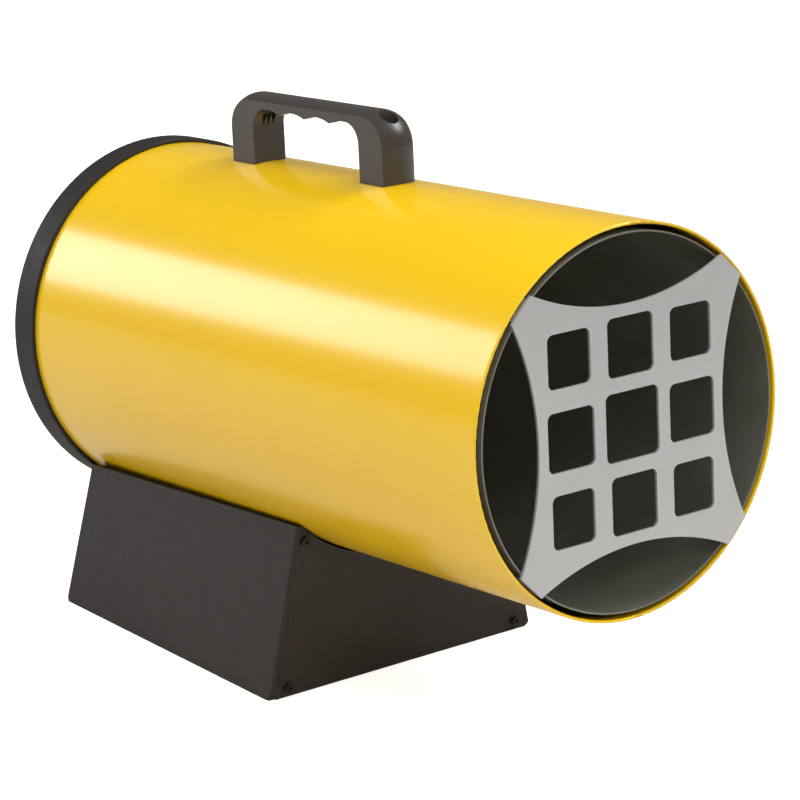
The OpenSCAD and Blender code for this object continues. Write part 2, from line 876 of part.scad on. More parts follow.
// Overhang of the windings at both ends of the stack
module motor_windings() {
    color(copper) tube_frame() for (y = [stator_y - winding_len, stator_y + stator_len])
        revolved() translate([(winding_ri + winding_ro) / 2, y + winding_len / 2])
            rounded_square(winding_ro - winding_ri, winding_len, winding_round);
}

// Cast end shield, drawn with its closed end at y = 0 and its mouth toward +y
module motor_shield(boss_out) {
    difference() {
        union() {
            revolved() difference() {
                square([shield_d / 2, shield_depth]);
                translate([0, shield_wall]) square([shield_d / 2 - shield_wall, shield_depth]);
            }
            rod(shield_boss_d, -boss_out, boss_out + bush_len);
            around(bolt_count) intersection() {
                rod(bolt_lug_d, 0, shield_depth, bolt_r);
                rod(shield_d, 0, shield_depth);
            }
        }
        rod(bush_d + 2 * press_gap, -boss_out - over, boss_out + bush_len + 2 * over);
        around(bolt_count) rod(bolt_d + 2 * side_gap, -over, shield_depth + 2 * over, bolt_r);
        around(shield_slot_count, 180 / shield_slot_count)
            plate(-over, shield_wall + 2 * over) translate([shield_slot_r, 0])
                rounded_square(shield_slot_len, shield_slot_w, shield_slot_w / 2 - side_gap);
    }
}

module motor_front_shield() {
    color(cast_alloy) tube_frame() translate([0, motor_front, 0]) motor_shield(shield_boss_out);
}

module motor_rear_shield() {
    color(cast_alloy) tube_frame() translate([0, motor_rear, 0]) mirror([0, 1, 0]) motor_shield(0);
}

// Sintered bushes, one in each shield
module motor_bearings() {
    color(brass) tube_frame() for (y = [motor_front - shield_boss_out + shield_wall, motor_rear - bush_len])
        difference() {
            rod(bush_d, y, bush_len);
            rod(shaft_d + 2 * run_gap, y - over, bush_len + 2 * over);
        }
}

// Bolts through both shields and the bracket, with their nuts
module motor_bolts() {
    tail = bracket_y + bracket_t + bolt_nut_h;
    color(zinc) tube_frame() around(bolt_count) {
        rod(bolt_head_d, motor_front - bolt_head_h, bolt_head_h, bolt_r);
        rod(bolt_d, motor_front - bolt_head_h / 2, tail - motor_front + bolt_head_h / 2, bolt_r);
        hex_rod(bolt_head_d, bracket_y + bracket_t, bolt_nut_h, bolt_r);
    }
}

// Squirrel cage core
module motor_rotor() {
    color(cast_alloy) tube_frame() difference() {
        rod(rotor_d, stator_y, stator_len);
        rod(shaft_d + 2 * press_gap, stator_y - over, stator_len + 2 * over);
    }
}

module motor_shaft() {
    color(zinc) tube_frame() rod(shaft_d, shaft_front, shaft_rear - shaft_front);
}

// Section of a blade: a strip bent to an arc, with its chord along x
module blade_section() {
    half = blade_chord / 2;
    r = (pow(half, 2) + pow(blade_camber, 2)) / (2 * blade_camber);
    spread = asin(half / r);
    rise = blade_camber / 2 - r;
    inner = r - blade_sheet;
    steps = [for (i = [0 : blade_steps]) spread * (2 * i / blade_steps - 1)];
    polygon(concat(
        [for (a = steps) [r * sin(a), rise + r * cos(a)]],
        [for (a = steps) [-inner * sin(a), rise + inner * cos(a)]]
    ));
}

// Hub with twisted blades that widen toward their tips
module fan_rotor() {
    root = hub_d / 2 - hub_wall;
    color(cast_alloy) tube_frame() {
        difference() {
            revolved() difference() {
                union() {
                    translate([0, fan_front + hub_round]) square([hub_d / 2, fan_len - hub_round]);
                    translate([0, fan_front]) square([hub_d / 2 - hub_round, fan_len]);
                    translate([hub_d / 2 - hub_round, fan_front + hub_round]) circle(hub_round);
                }
                translate([hub_boss_d / 2, fan_front + hub_round + hub_wall])
                    square([(hub_d - hub_boss_d) / 2 - hub_wall, fan_len]);
            }
            rod(shaft_d + 2 * press_gap, fan_front - over, fan_len + 2 * over);
        }
        intersection() {
            around(blade_count)
                translate([0, fan_mid, root])
                    linear_extrude(
                        blade_len + 2 * hub_wall,
                        twist = pitch_root - pitch_tip,
                        scale = blade_widening,
                        slices = blade_steps,
                        segments = 1
                    ) rotate(pitch_root) blade_section();
            rod(2 * fan_r, fan_front - fan_len, 3 * fan_len);
        }
    }
}

module fan_nut() {
    color(zinc) tube_frame() difference() {
        hex_rod(fan_nut_w, fan_front - fan_nut_h, fan_nut_h);
        rod(shaft_d + 2 * press_gap, fan_front - fan_nut_h - over, fan_nut_h + 2 * over);
    }
}

// Perforated cone that holds the flame, with a rolled lip
module burner_cup() {
    slope = (cup_mouth_d - cup_rear_d) / 2;
    color(zinc) tube_frame() difference() {
        revolved() {
            polygon([
                [cup_mouth_d / 2, cup_y],
                [cup_rear_d / 2, chamber_len],
                [0, chamber_len],
                [0, chamber_len - cup_sheet],
                [cup_rear_d / 2 - cup_sheet, chamber_len - cup_sheet],
                [cup_mouth_d / 2 - cup_sheet, cup_y]
            ]);
            translate([cup_mouth_d / 2 - cup_sheet, cup_y]) square([cup_lip, cup_sheet]);
        }
        for (row = [1, 2])
            around(cup_hole_count, row * 180 / cup_hole_count)
                translate([cup_rear_d / 2 - cup_hole_d, cup_y + row * cup_depth / 3, 0])
                    rotate([0, 90, 0]) cylinder(d = cup_hole_d, h = cup_mouth_d / 2);
        rod(nozzle_neck_d + 2 * side_gap, cup_y, cup_depth + over);
        rod(electrode_d + 2 * side_gap, cup_y, cup_depth + over, -port_place, port_place);
        rod(probe_d + 2 * side_gap, cup_y, cup_depth + over, port_place, port_place);
    }
}

// Strap across the rear of the chamber, with tabs turned forward inside it
module burner_bracket() {
    tab_x = sqrt(pow(chamber_ri - seat_gap, 2) - pow(strap_w / 2, 2));
    color(zinc) tube_frame() difference() {
        union() {
            translate([-tab_x, chamber_len, -strap_w / 2]) cube([2 * tab_x, strap_t, strap_w]);
            both_sides()
                translate([tab_x - strap_t, chamber_len - strap_tab, -strap_w / 2])
                    cube([strap_t, strap_tab + strap_t, strap_w]);
        }
        rod(nozzle_neck_d + 2 * side_gap, chamber_len - over, strap_t + 2 * over);
    }
}

// Brass jet, seated on the strap
module gas_nozzle() {
    seat = chamber_len + strap_t;
    color(brass) tube_frame() difference() {
        union() {
            rod(nozzle_neck_d, seat - nozzle_reach, nozzle_reach + nozzle_len / 2);
            hex_rod(nozzle_hex, seat, nozzle_len);
            rod(nozzle_thread_d, seat + nozzle_len / 2, nozzle_len / 2 + nozzle_thread);
        }
        rod(nozzle_bore_d, seat - nozzle_reach + jet_d, nozzle_reach + nozzle_len + nozzle_thread);
        rod(jet_d, seat - nozzle_reach - over, nozzle_reach);
    }
}

// Gas pipe from the valve, up through the slot in the casing and forward to the jet
module gas_pipe() {
    outlet = from_panel([valve_x, valve_outlet_y - press_gap, valve_inlet_z]);
    top = to_floor([0, slot_y, 0]);
    away = outlet - top;
    run = (away.y * cos(tilt) - away.z * sin(tilt)) / cos(rear_lean + tilt);
    corner = from_panel([valve_x, valve_outlet_y - press_gap - run, valve_inlet_z]);
    color(copper) bent_run([
        outlet,
        corner,
        [0, corner.y, corner.z],
        top,
        to_floor([0, nozzle_end + press_gap, 0])
    ], pipe_d, pipe_bend);
}

module pipe_nut(y) {
    difference() {
        hex_rod(pipe_nut_w, y, pipe_nut_h);
        rod(pipe_d + 2 * side_gap, y - over, pipe_nut_h + 2 * over);
    }
}

module pipe_nuts() {
    color(brass) {
        tube_frame() pipe_nut(nozzle_end);
        panel_frame() translate([valve_x, 0, valve_inlet_z]) pipe_nut(valve_outlet_y - pipe_nut_h);
    }
}

// Ceramic rod with its spark wire
module ignition_electrode() {
    y = chamber_len + electrode_out - electrode_len;
    color(ceramic_white) tube_frame() {
        rod(electrode_d, y, electrode_len, -port_place, port_place);
        rod(spark_d, y - spark_len, spark_len + over, -port_place, port_place);
    }
}

// High-tension lead from the igniter to the electrode
module ignition_lead() {
    spigot = -base_sheet - igniter_barrel_len - spigot_len - seat_gap;
    color(satin_black) bent_run([
        from_panel([igniter_x, spigot, igniter_z]),
        from_panel([igniter_x, spigot - 2 * lead_bend, igniter_z]),
        to_floor([-port_place, slot_y, -casing_r - lead_low]),
        to_floor([-port_place, slot_y, port_place]),
        to_floor([-port_place, chamber_len + electrode_out + seat_gap, port_place])
    ], lead_d, lead_bend / 2);
}

// Flame sensing rod and its lead to the valve
module thermocouple() {
    port_x = valve_x + valve_block_w / 4;
    port = -base_sheet - valve_barrel_len - seat_gap;
    color(copper) {
        tube_frame() {
            rod(probe_d, chamber_len - probe_in, probe_in + probe_hex_h, port_place, port_place);
            hex_rod(probe_hex, chamber_len, probe_hex_h, port_place, port_place);
        }
        bent_run([
            from_panel([port_x, port, valve_button_z]),
            from_panel([port_x, port - 2 * lead_bend, valve_button_z]),
            to_floor([port_place, slot_y, -casing_r - lead_low]),
            to_floor([port_place, slot_y, port_place]),
            to_floor([port_place, chamber_len + probe_hex_h, port_place])
        ], probe_lead_d, lead_bend / 2);
    }
}

// Cable from the terminal block to the motor, led past the fan along the casing
module motor_lead() {
    x = (slot_w - lead_d) / 2 - side_gap;
    hug = -sqrt(pow(casing_ri - lead_d, 2) - pow(x, 2));
    shield_z = -sqrt(pow(shield_d / 2, 2) - pow(x - lead_d / 2, 2)) - seat_gap;
    block_top = base_sheet + block_h + seat_gap;
    color(satin_black) bent_run([
        to_floor([x, motor_front + shield_depth / 2, shield_z]),
        to_floor([x, motor_front + shield_depth / 2, hug]),
        to_floor([x, slot_y, hug]),
        to_floor([x, slot_y, -casing_r - motor_lead_low]),
        [block_x, block_y, block_top + 2 * lead_bend],
        [block_x, block_y, block_top]
    ], lead_d, lead_bend / 2);
}

// Bimetal cut-out on the inside of the casing
module overheat_thermostat() {
    seat = sqrt(pow(casing_ri, 2) - pow(thermostat_d / 2, 2)) - seat_gap;
    color(satin_black) tube_frame() thermostat_place() {
        translate([0, 0, seat - thermostat_h]) cylinder(d = thermostat_d, h = thermostat_h);
        translate([0, 0, seat - blade_terminal_t]) linear_extrude(blade_terminal_t)
            rounded_square(thermostat_ear_w, thermostat_ear, thermostat_rivet_d / 2);
        for (side = [-1, 1])
            translate([0, side * (thermostat_ear - thermostat_rivet_d) / 2, seat - rivet_head_h])
                cylinder(d = thermostat_rivet_d, h = casing_r + base_sheet - seat + rivet_head_h);
    }
}

// Cast valve body with the flame failure barrel above and the gas way below
module gas_valve() {
    inner = -base_sheet;
    bottom = -valve_button_in - valve_travel - over;
    color(brass) panel_frame() translate([valve_x, 0, 0]) difference() {
        union() {
            rod(valve_barrel_d, inner - valve_barrel_len, valve_barrel_len, 0, valve_button_z);
            rod(valve_neck_d, inner, neck_out - inner, 0, valve_button_z);
            translate([-valve_block_w / 2, inner - valve_block_len, valve_inlet_z - valve_block_w / 2])
                cube([valve_block_w, valve_block_len, valve_button_z - valve_inlet_z + valve_block_w / 2]);
            rod(outlet_boss_d, valve_outlet_y, outlet_boss_len + over, 0, valve_inlet_z);
        }
        rod(valve_button_d + 2 * run_gap, bottom, valve_barrel_len, 0, valve_button_z);
        rod(inlet_seat_d + 2 * press_gap, inner - valve_block_len / 2, valve_block_len, 0, valve_inlet_z);
        rod(inlet_bore_d, valve_outlet_y - over, valve_block_len, 0, valve_inlet_z);
    }
}

// Push button with a domed end
module push_button(d, inside, outside) {
    dome = d / 4;
    revolved() intersection() {
        union() {
            translate([0, -inside]) square([d / 2, inside + outside - dome]);
            translate([0, outside - dome]) square([d / 2 - dome, dome]);
            translate([d / 2 - dome, outside - dome]) circle(dome);
        }
        translate([0, -inside]) square([d / 2, inside + outside]);
    }
}

module valve_button() {
    color("firebrick") panel_frame() translate([valve_x, 0, valve_button_z])
        push_button(valve_button_d, valve_button_in, neck_out + valve_button_out);
}

// Brass nipple for the supply hose
module gas_inlet() {
    inner = -base_sheet;
    color(brass) panel_frame() translate([valve_x, 0, valve_inlet_z]) difference() {
        union() {
            rod(inlet_seat_d, inner - valve_block_len / 2 + side_gap, valve_block_len / 2);
            hex_rod(inlet_hex, side_gap, inlet_hex_h);
            rod(inlet_seat_d, inner - side_gap, inlet_hex_h);
            rod(inlet_thread_d, inlet_hex_h, inlet_thread + side_gap);
        }
        rod(inlet_bore_d, inner - valve_block_len, valve_block_len + inlet_hex_h + inlet_thread + 2 * over);
    }
}

// Piezo generator
module igniter_body() {
    inner = -base_sheet;
    color(satin_black) panel_frame() translate([igniter_x, 0, igniter_z]) difference() {
        union() {
            rod(igniter_barrel_d, inner - igniter_barrel_len, igniter_barrel_len);
            rod(igniter_neck_d, inner, neck_out - inner);
            rod(spigot_d, inner - igniter_barrel_len - spigot_len, spigot_len + over);
        }
        rod(igniter_button_d + 2 * run_gap, -igniter_button_in - igniter_travel - over, igniter_barrel_len);
    }
}

module igniter_button() {
    color(ceramic_white) panel_frame() translate([igniter_x, 0, igniter_z])
        push_button(igniter_button_d, igniter_button_in, neck_out + igniter_button_out);
}

// Knurled ring nuts that hold the valve and the igniter on the panel
module control_nut(d, bore) {
    difference() {
        rod(d, 0, control_nut_h);
        rod(bore + 2 * press_gap, -over, control_nut_h + 2 * over);
    }
}

module control_nuts() {
    color(zinc) panel_frame() {
        translate([valve_x, 0, valve_button_z]) control_nut(valve_nut_d, valve_neck_d);
        translate([igniter_x, 0, igniter_z]) control_nut(igniter_nut_d, igniter_neck_d);
    }
}

// Snap-in switch housing with its blade terminals
module switch_body() {
    case_w = switch_w - 2 * bezel_lap;
    case_h = switch_h - 2 * bezel_lap;
    pocket_w = case_w - 2 * switch_wall;
    pocket_h = case_h - 2 * switch_wall;
    floor_y = rocker_pivot_y - rocker_room;
    color(satin_black) panel_frame() translate([switch_x, 0, switch_z]) {
        difference() {
            union() {
                plate(0, bezel_h) rounded_square(switch_w, switch_h, bezel_lap);
                plate(-switch_depth, switch_depth + bezel_h / 2) square([case_w, case_h], center = true);
            }
            plate(floor_y, bezel_h - floor_y + over) square([pocket_w, pocket_h], center = true);
            translate([0, rocker_pivot_y, 0]) rotate([0, 90, 0])
                cylinder(d = rocker_pin_d + 2 * run_gap, h = case_w + 2 * over, center = true);
        }
        for (x = [-1, 1], z = [-1, 1])
            translate([x * case_w / 4, -switch_depth - blade_terminal_len / 2, z * case_h / 4])
                cube([blade_terminal_t, blade_terminal_len + over, blade_terminal_w], center = true);
    }
}

// Rocker, drawn in its off position
module switch_rocker() {
    pin_len = switch_w - 2 * bezel_lap - switch_wall;
    color(satin_black) panel_frame()
        translate([switch_x, rocker_pivot_y, switch_z]) rotate([-rocker_tilt, 0, 0]) {
            rotate([90, 0, 90]) linear_extrude(rocker_w, center = true) intersection() {
                circle(rocker_r);
                polygon([
                    [rocker_edge, -rocker_r],
                    [rocker_middle, 0],
                    [rocker_edge, rocker_r],
                    [-rocker_foot, rocker_foot_w / 2],
                    [-rocker_foot, -rocker_foot_w / 2]
                ]);
            }
            rotate([0, 90, 0]) cylinder(d = rocker_pin_d, h = pin_len, center = true);
        }
}

// Cable gland, empty
module cable_gland() {
    inner = -base_sheet;
    cap_end = gland_hex_h + gland_cap_len;
    color(satin_black) panel_frame() translate([gland_x, 0, gland_z]) difference() {
        union() {
            hex_rod(gland_hex, 0, gland_hex_h);
            rod(gland_neck_d, inner - gland_neck_len, gland_neck_len + gland_hex_h);
            revolved() intersection() {
                union() {
                    translate([0, gland_hex_h]) square([gland_cap_d / 2, gland_cap_len - gland_cap_round]);
                    translate([0, gland_hex_h]) square([gland_cap_d / 2 - gland_cap_round, gland_cap_len]);
                    translate([gland_cap_d / 2 - gland_cap_round, cap_end - gland_cap_round])
                        circle(gland_cap_round);
                }
                square([gland_cap_d, cap_end]);
            }
        }
        rod(gland_bore_d, inner - gland_neck_len - over, gland_neck_len - inner + cap_end + 2 * over);
    }
}

module gland_nut() {
    color(satin_black) panel_frame() translate([gland_x, 0, gland_z]) difference() {
        hex_rod(gland_nut_w, -base_sheet - gland_nut_h, gland_nut_h);
        rod(gland_neck_d + 2 * press_gap, -base_sheet - gland_nut_h - over, gland_nut_h + 2 * over);
    }
}

// Screw terminals where the cord would join the motor lead
module terminal_block() {
    pitch = block_w / block_pole_count;
    color(ceramic_white) translate([block_x, block_y, base_sheet]) difference() {
        translate([0, 0, block_h / 2]) rotate([90, 0, 0])
            linear_extrude(block_len, center = true) rounded_square(block_w, block_h, block_round);
        for (i = [0 : block_pole_count - 1]) translate([(i - (block_pole_count - 1) / 2) * pitch, 0, 0]) {
            for (side = [-1, 1]) translate([0, side * block_len / 4, block_h - block_pole_depth])
                cylinder(d = block_pole_d, h = block_pole_depth + over);
            translate([0, 0, block_h / 3]) rotate([90, 0, 0])
                cylinder(d = block_wire_d, h = block_len + 2 * over, center = true);
        }
    }
}

// Folded edge beside a cover, from above: the bend, a lip level with the cover and a flange behind it
module cover_fold() {
    step_x = -fold_r - lip_w;
    behind = base_sheet + panel_gap;
    translate([-fold_r, fold_r]) difference() {
        intersection() {
            circle(fold_r);
            translate([0, -fold_r]) square(fold_r);
        }
        circle(fold_r - base_sheet);
    }
    translate([step_x, 0]) square([lip_w, base_sheet]);
    translate([step_x - base_sheet, 0]) square([base_sheet, behind + base_sheet]);
    translate([-cover_flange_w, behind]) square([cover_flange_w + step_x, base_sheet]);
}

// Outline of a side panel in y and in height up its slope
module side_outline() {
    front = base_front + fold_r;
    c = side_corner_r;
    rear_z = rear_h / cos(side_lean);
    polygon([
        [front, c],
        [front + c, 0],
        [base_rear - c, 0],
        [base_rear - c * tan(rear_lean) - fold_r, c],
        [rear_top_y - fold_r, rear_z],
        [front, side_top(front)]
    ]);
    translate([front + c, c]) circle(c);
    translate([base_rear - fold_r - c, c]) circle(c);
}

// One leaning side: its panel, both cover folds, the top flange and the saddle under the casing
module pan_side() {
    rear_turn = atan(cos(side_lean) * tan(rear_lean));
    rear_fold = rear_h / cos(side_lean) / cos(rear_turn) - side_corner_r;
    side_frame() {
        translate([-base_sheet, 0, 0]) rotate([90, 0, 90]) linear_extrude(base_sheet) side_outline();
        translate([0, base_front, side_corner_r])
            linear_extrude(side_top(base_front) - side_corner_r) cover_fold();
        translate([0, base_rear, 0]) rotate([rear_turn, 0, 0]) translate([0, 0, side_corner_r])
            linear_extrude(rear_fold) mirror([0, 1]) cover_fold();
        difference() {
            translate([-top_flange_w, 0, 0]) rotate([90, 0, 90]) linear_extrude(top_flange_w) polygon([
                [base_front + mitre_start, side_top(base_front + mitre_start) - base_sheet],
                [rear_top_y - fold_r, side_top(rear_top_y - fold_r) - base_sheet],
                [rear_top_y - fold_r, side_top(rear_top_y - fold_r)],
                [base_front + mitre_start, side_top(base_front + mitre_start)]
            ]);
            linear_extrude(side_top(base_front) + over) polygon([
                [-base_sheet, base_front],
                [-base_sheet, base_front + mitre_start],
                [-base_sheet - fold_standoff - base_sheet, base_front + mitre_start + mitre_len],
                [-top_flange_w - over, base_front + mitre_start + mitre_len],
                [-top_flange_w - over, base_front]
            ]);
        }
    }
}

// Strip along the casing that the rivets go through
module pan_saddle() {
    from = tube_y(base_front + saddle_inset, -casing_r);
    to = tube_y(base_rear - saddle_rear_inset, -casing_r);
    intersection() {
        tube_frame() rotate([-90, 0, 0]) rotate([0, 0, saddle_from_angle])
            rotate_extrude(angle = saddle_to_angle - saddle_from_angle)
                translate([casing_r + seat_gap, from]) square([base_sheet, to - from]);
        side_frame() translate([-base_w / 2, 0, 0]) rotate([90, 0, 90]) linear_extrude(base_w / 2) polygon([
            [base_front, 0],
            [base_rear, 0],
            [base_rear, side_top(base_rear)],
            [base_front, side_top(base_front)]
        ]);
    }
}

// Bent sheet pan: a floor and two leaning sides
module base_pan() {
    edge_in = base_sheet + panel_gap + base_sheet / 2;
    color(sheet_brown) difference() {
        union() {
            translate([-base_w / 2 + base_sheet / 2, base_front + edge_in, 0])
                cube([base_w - base_sheet, base_len - 2 * edge_in, base_sheet]);
            both_sides() {
                pan_side();
                pan_saddle();
            }
        }
        translate([-base_w, -base_len, -base_h]) cube([2 * base_w, 2 * base_len, base_h]);
        casing_room(seat_gap);
        cover_screw_places() rod(cover_screw_d + 2 * press_gap, -over, 3 * base_sheet + over);
        control_screw_places() rod(cover_screw_d + 2 * press_gap, -3 * base_sheet, 3 * base_sheet + over);
        tube_frame() rivet_places() cylinder(d = rivet_d + 2 * press_gap, h = casing_r + 2 * base_sheet);
    }
}

// Half width of a cover at a height
function cover_half(z) = base_w / 2 - z * tan(side_lean) - cover_inset / cos(side_lean);

// Outline shared by both covers, up to a height
module cover_outline(h) {
    polygon([
        [-cover_half(cover_floor_gap), cover_floor_gap],
        [cover_half(cover_floor_gap), cover_floor_gap],
        [cover_half(h), h],
        [-cover_half(h), h]
    ]);
}

// Screw places of a cover whose top is at height h
module screw_grid(h) {
    high = h - cover_screw_high + cover_top_gap;
    low = cover_screw_low;
    both_sides() {
        translate([base_w / 2 - high * tan(side_lean) - cover_screw_in, 0, high]) children();
        translate([base_w / 2 - low * tan(side_lean) - cover_screw_in_low, 0, low]) children();
    }
}

module cover_screw_places() {
    translate([0, base_front, 0]) screw_grid(front_cover_h) children();
}

module control_screw_places() {
    panel_frame() screw_grid(rear_cover_h) children();
}

module front_panel() {
    color(sheet_brown) difference() {
        plate(base_front, base_sheet) cover_outline(front_cover_h);
        casing_room(cover_arc_gap);
        cover_screw_places() rod(cover_screw_d + 2 * side_gap, -over, base_sheet + 2 * over);
    }
}

// Rear cover with the openings of the controls
module control_panel() {
    switch_cut_w = switch_w - 2 * bezel_lap + side_gap;
    switch_cut_h = switch_h - 2 * bezel_lap + side_gap;
    color(sheet_brown) difference() {
        panel_frame() plate(-base_sheet, base_sheet) difference() {
            cover_outline(rear_cover_h);
            translate([valve_x, valve_button_z]) circle(d = valve_neck_d + 2 * side_gap);
            translate([valve_x, valve_inlet_z]) circle(d = inlet_seat_d + 2 * side_gap);
            translate([igniter_x, igniter_z]) circle(d = igniter_neck_d + 2 * side_gap);
            translate([switch_x, switch_z]) square([switch_cut_w, switch_cut_h], center = true);
            translate([gland_x, gland_z]) circle(d = gland_neck_d + 2 * side_gap);
        }
        casing_room(cover_arc_gap);
        control_screw_places() rod(cover_screw_d + 2 * side_gap, -base_sheet - over, base_sheet + 2 * over);
    }
}

// Pan head screw with its head on y = 0 and its shank along +y
module cover_screw() {
    difference() {
        union() {
            rod(cover_head_d, -cover_head_h, cover_head_h);
            rod(cover_screw_d, -cover_head_h / 2, cover_screw_len + cover_head_h / 2);
        }
        hex_rod(cover_socket_d, -cover_head_h - over, over + cover_head_h / 2);
    }
}

module front_panel_screws() {
    color(wire_black) cover_screw_places() cover_screw();
}

module control_panel_screws() {
    color(wire_black) control_screw_places() mirror([0, 1, 0]) cover_screw();
}

// Blind rivets that hold the casing on the pan
module base_rivets() {
    inner_z = casing_ri - seat_gap;
    outer_z = casing_r + base_sheet + 2 * seat_gap;
    color(zinc) tube_frame() rivet_places() {
        translate([0, 0, inner_z - rivet_head_h]) cylinder(d = rivet_head_d, h = rivet_head_h);
        translate([0, 0, outer_z]) cylinder(d = rivet_head_d, h = rivet_head_h);
        translate([0, 0, inner_z - rivet_head_h / 2])
            cylinder(d = rivet_d, h = outer_z - inner_z + rivet_head_h);
    }
}

casing();
combustion_chamber();
chamber_spacers();
outlet_grille();
rear_ring();
inlet_guard();
guard_screws();
handle();
handle_screws();
handle_nuts();
motor_bracket();
motor_stator();
motor_windings();
motor_front_shield();
motor_rear_shield();
motor_bearings();
motor_bolts();
motor_rotor();
motor_shaft();
fan_rotor();
fan_nut();
burner_cup();
burner_bracket();
gas_nozzle();
gas_pipe();
pipe_nuts();
ignition_electrode();
ignition_lead();
thermocouple();
motor_lead();
overheat_thermostat();
gas_valve();
valve_button();
gas_inlet();
igniter_body();
igniter_button();
control_nuts();
switch_body();
switch_rocker();
cable_gland();
gland_nut();
terminal_block();
base_pan();
front_panel();
control_panel();
front_panel_screws();
control_panel_screws();
base_rivets();
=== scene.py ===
# Portable gas blower heater: finishes, small parts, studio and camera.
# Metres, in the frame of the CAD model: floor at z = 0, outlet towards -y.
import bpy, bmesh, math
from mathutils import Matrix, Vector


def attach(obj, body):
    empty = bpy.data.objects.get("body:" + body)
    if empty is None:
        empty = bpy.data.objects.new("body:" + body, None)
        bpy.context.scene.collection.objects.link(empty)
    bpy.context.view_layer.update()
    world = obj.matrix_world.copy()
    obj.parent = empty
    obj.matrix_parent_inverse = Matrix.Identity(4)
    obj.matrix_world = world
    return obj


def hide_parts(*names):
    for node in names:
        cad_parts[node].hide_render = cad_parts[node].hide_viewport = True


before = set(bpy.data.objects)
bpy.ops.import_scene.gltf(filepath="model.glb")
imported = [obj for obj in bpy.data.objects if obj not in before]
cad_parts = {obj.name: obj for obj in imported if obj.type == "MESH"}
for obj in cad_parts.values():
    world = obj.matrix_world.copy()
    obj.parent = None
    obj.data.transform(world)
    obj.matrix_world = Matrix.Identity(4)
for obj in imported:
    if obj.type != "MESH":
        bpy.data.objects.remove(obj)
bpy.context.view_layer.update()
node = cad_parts
print("frame loaded:", len(node), "nodes")

# the tube's own frame, y rearward from the outlet rim, and the control panel's frame, y outward;
# tilt and lean are in degrees
tube = {"tilt": 4.16, "rim": (0.0, -0.275478, 0.180438)}
panel = {"lean": 3.8, "foot": (0.0, 0.098478, 0.0)}
tubeTurn = Matrix.Translation(tube["rim"]) @ Matrix.Rotation(math.radians(-tube["tilt"]), 4, "X")
panelTurn = Matrix.Translation(panel["foot"]) @ Matrix.Rotation(math.radians(panel["lean"]), 4, "X")


def paint(r, g, b):  # a screen colour, 0 to 255, as Blender's linear colour
    part = [c / 255 for c in (r, g, b)]
    return tuple(c / 12.92 if c < 0.04045 else ((c + 0.055) / 1.055) ** 2.4 for c in part) + (1.0,)


def addNode(tree, kind, inputs=None, **settings):
    made = tree.nodes.new(kind)
    for name, value in settings.items():
        setattr(made, name, value)
    for name, value in (inputs or {}).items():
        made.inputs[name].default_value = value
    return made


def feed(tree, sockets, values):  # a number or a colour is set, anything else is linked
    for socket, value in zip(sockets, values):
        if isinstance(value, (int, float, tuple)):
            socket.default_value = value
        else:
            tree.links.new(value, socket)


def noiseOn(tree, place, scale, detail, stretch=None, roughness=0.5):
    source = place
    if stretch:
        mapping = addNode(tree, "ShaderNodeMapping", {"Scale": stretch})
        tree.links.new(place, mapping.inputs["Vector"])
        source = mapping.outputs["Vector"]
    noise = addNode(tree, "ShaderNodeTexNoise", {"Scale": scale, "Detail": detail, "Roughness": roughness})
    tree.links.new(source, noise.inputs["Vector"])
    return noise.outputs["Fac"]


def spread(tree, value, low, high, lowTo=0.0, highTo=1.0):
    ramp = addNode(tree, "ShaderNodeMapRange", {
        "From Min": low, "From Max": high, "To Min": lowTo, "To Max": highTo})
    tree.links.new(value, ramp.inputs["Value"])
    return ramp.outputs["Result"]


def blendColours(tree, amount, first, second):
    # the mix node's input 0 is its factor, 6 and 7 are its colours, and output 2 is the mixed colour
    mix = addNode(tree, "ShaderNodeMix", data_type="RGBA")
    feed(tree, (mix.inputs[0], mix.inputs[6], mix.inputs[7]), (amount, first, second))
    return mix.outputs[2]


# how the noises are read, the same for every finish
pattern = {"drift": (0.3, 0.7), "driftDetail": 4.0, "rough": (0.25, 0.75), "roughDetail": 5.0,
           "speckDetail": 2.0, "smudgeDetail": 6.0, "smudgeBreakup": 0.6,
           "edge": (0.97, 0.8), "bevelSamples": 4, "wearAndSheen": (0.4, 0.62), "wearAndSheenDetail": 5.0,
           "grainDetail": 2.0, "waveDetail": 1.0}


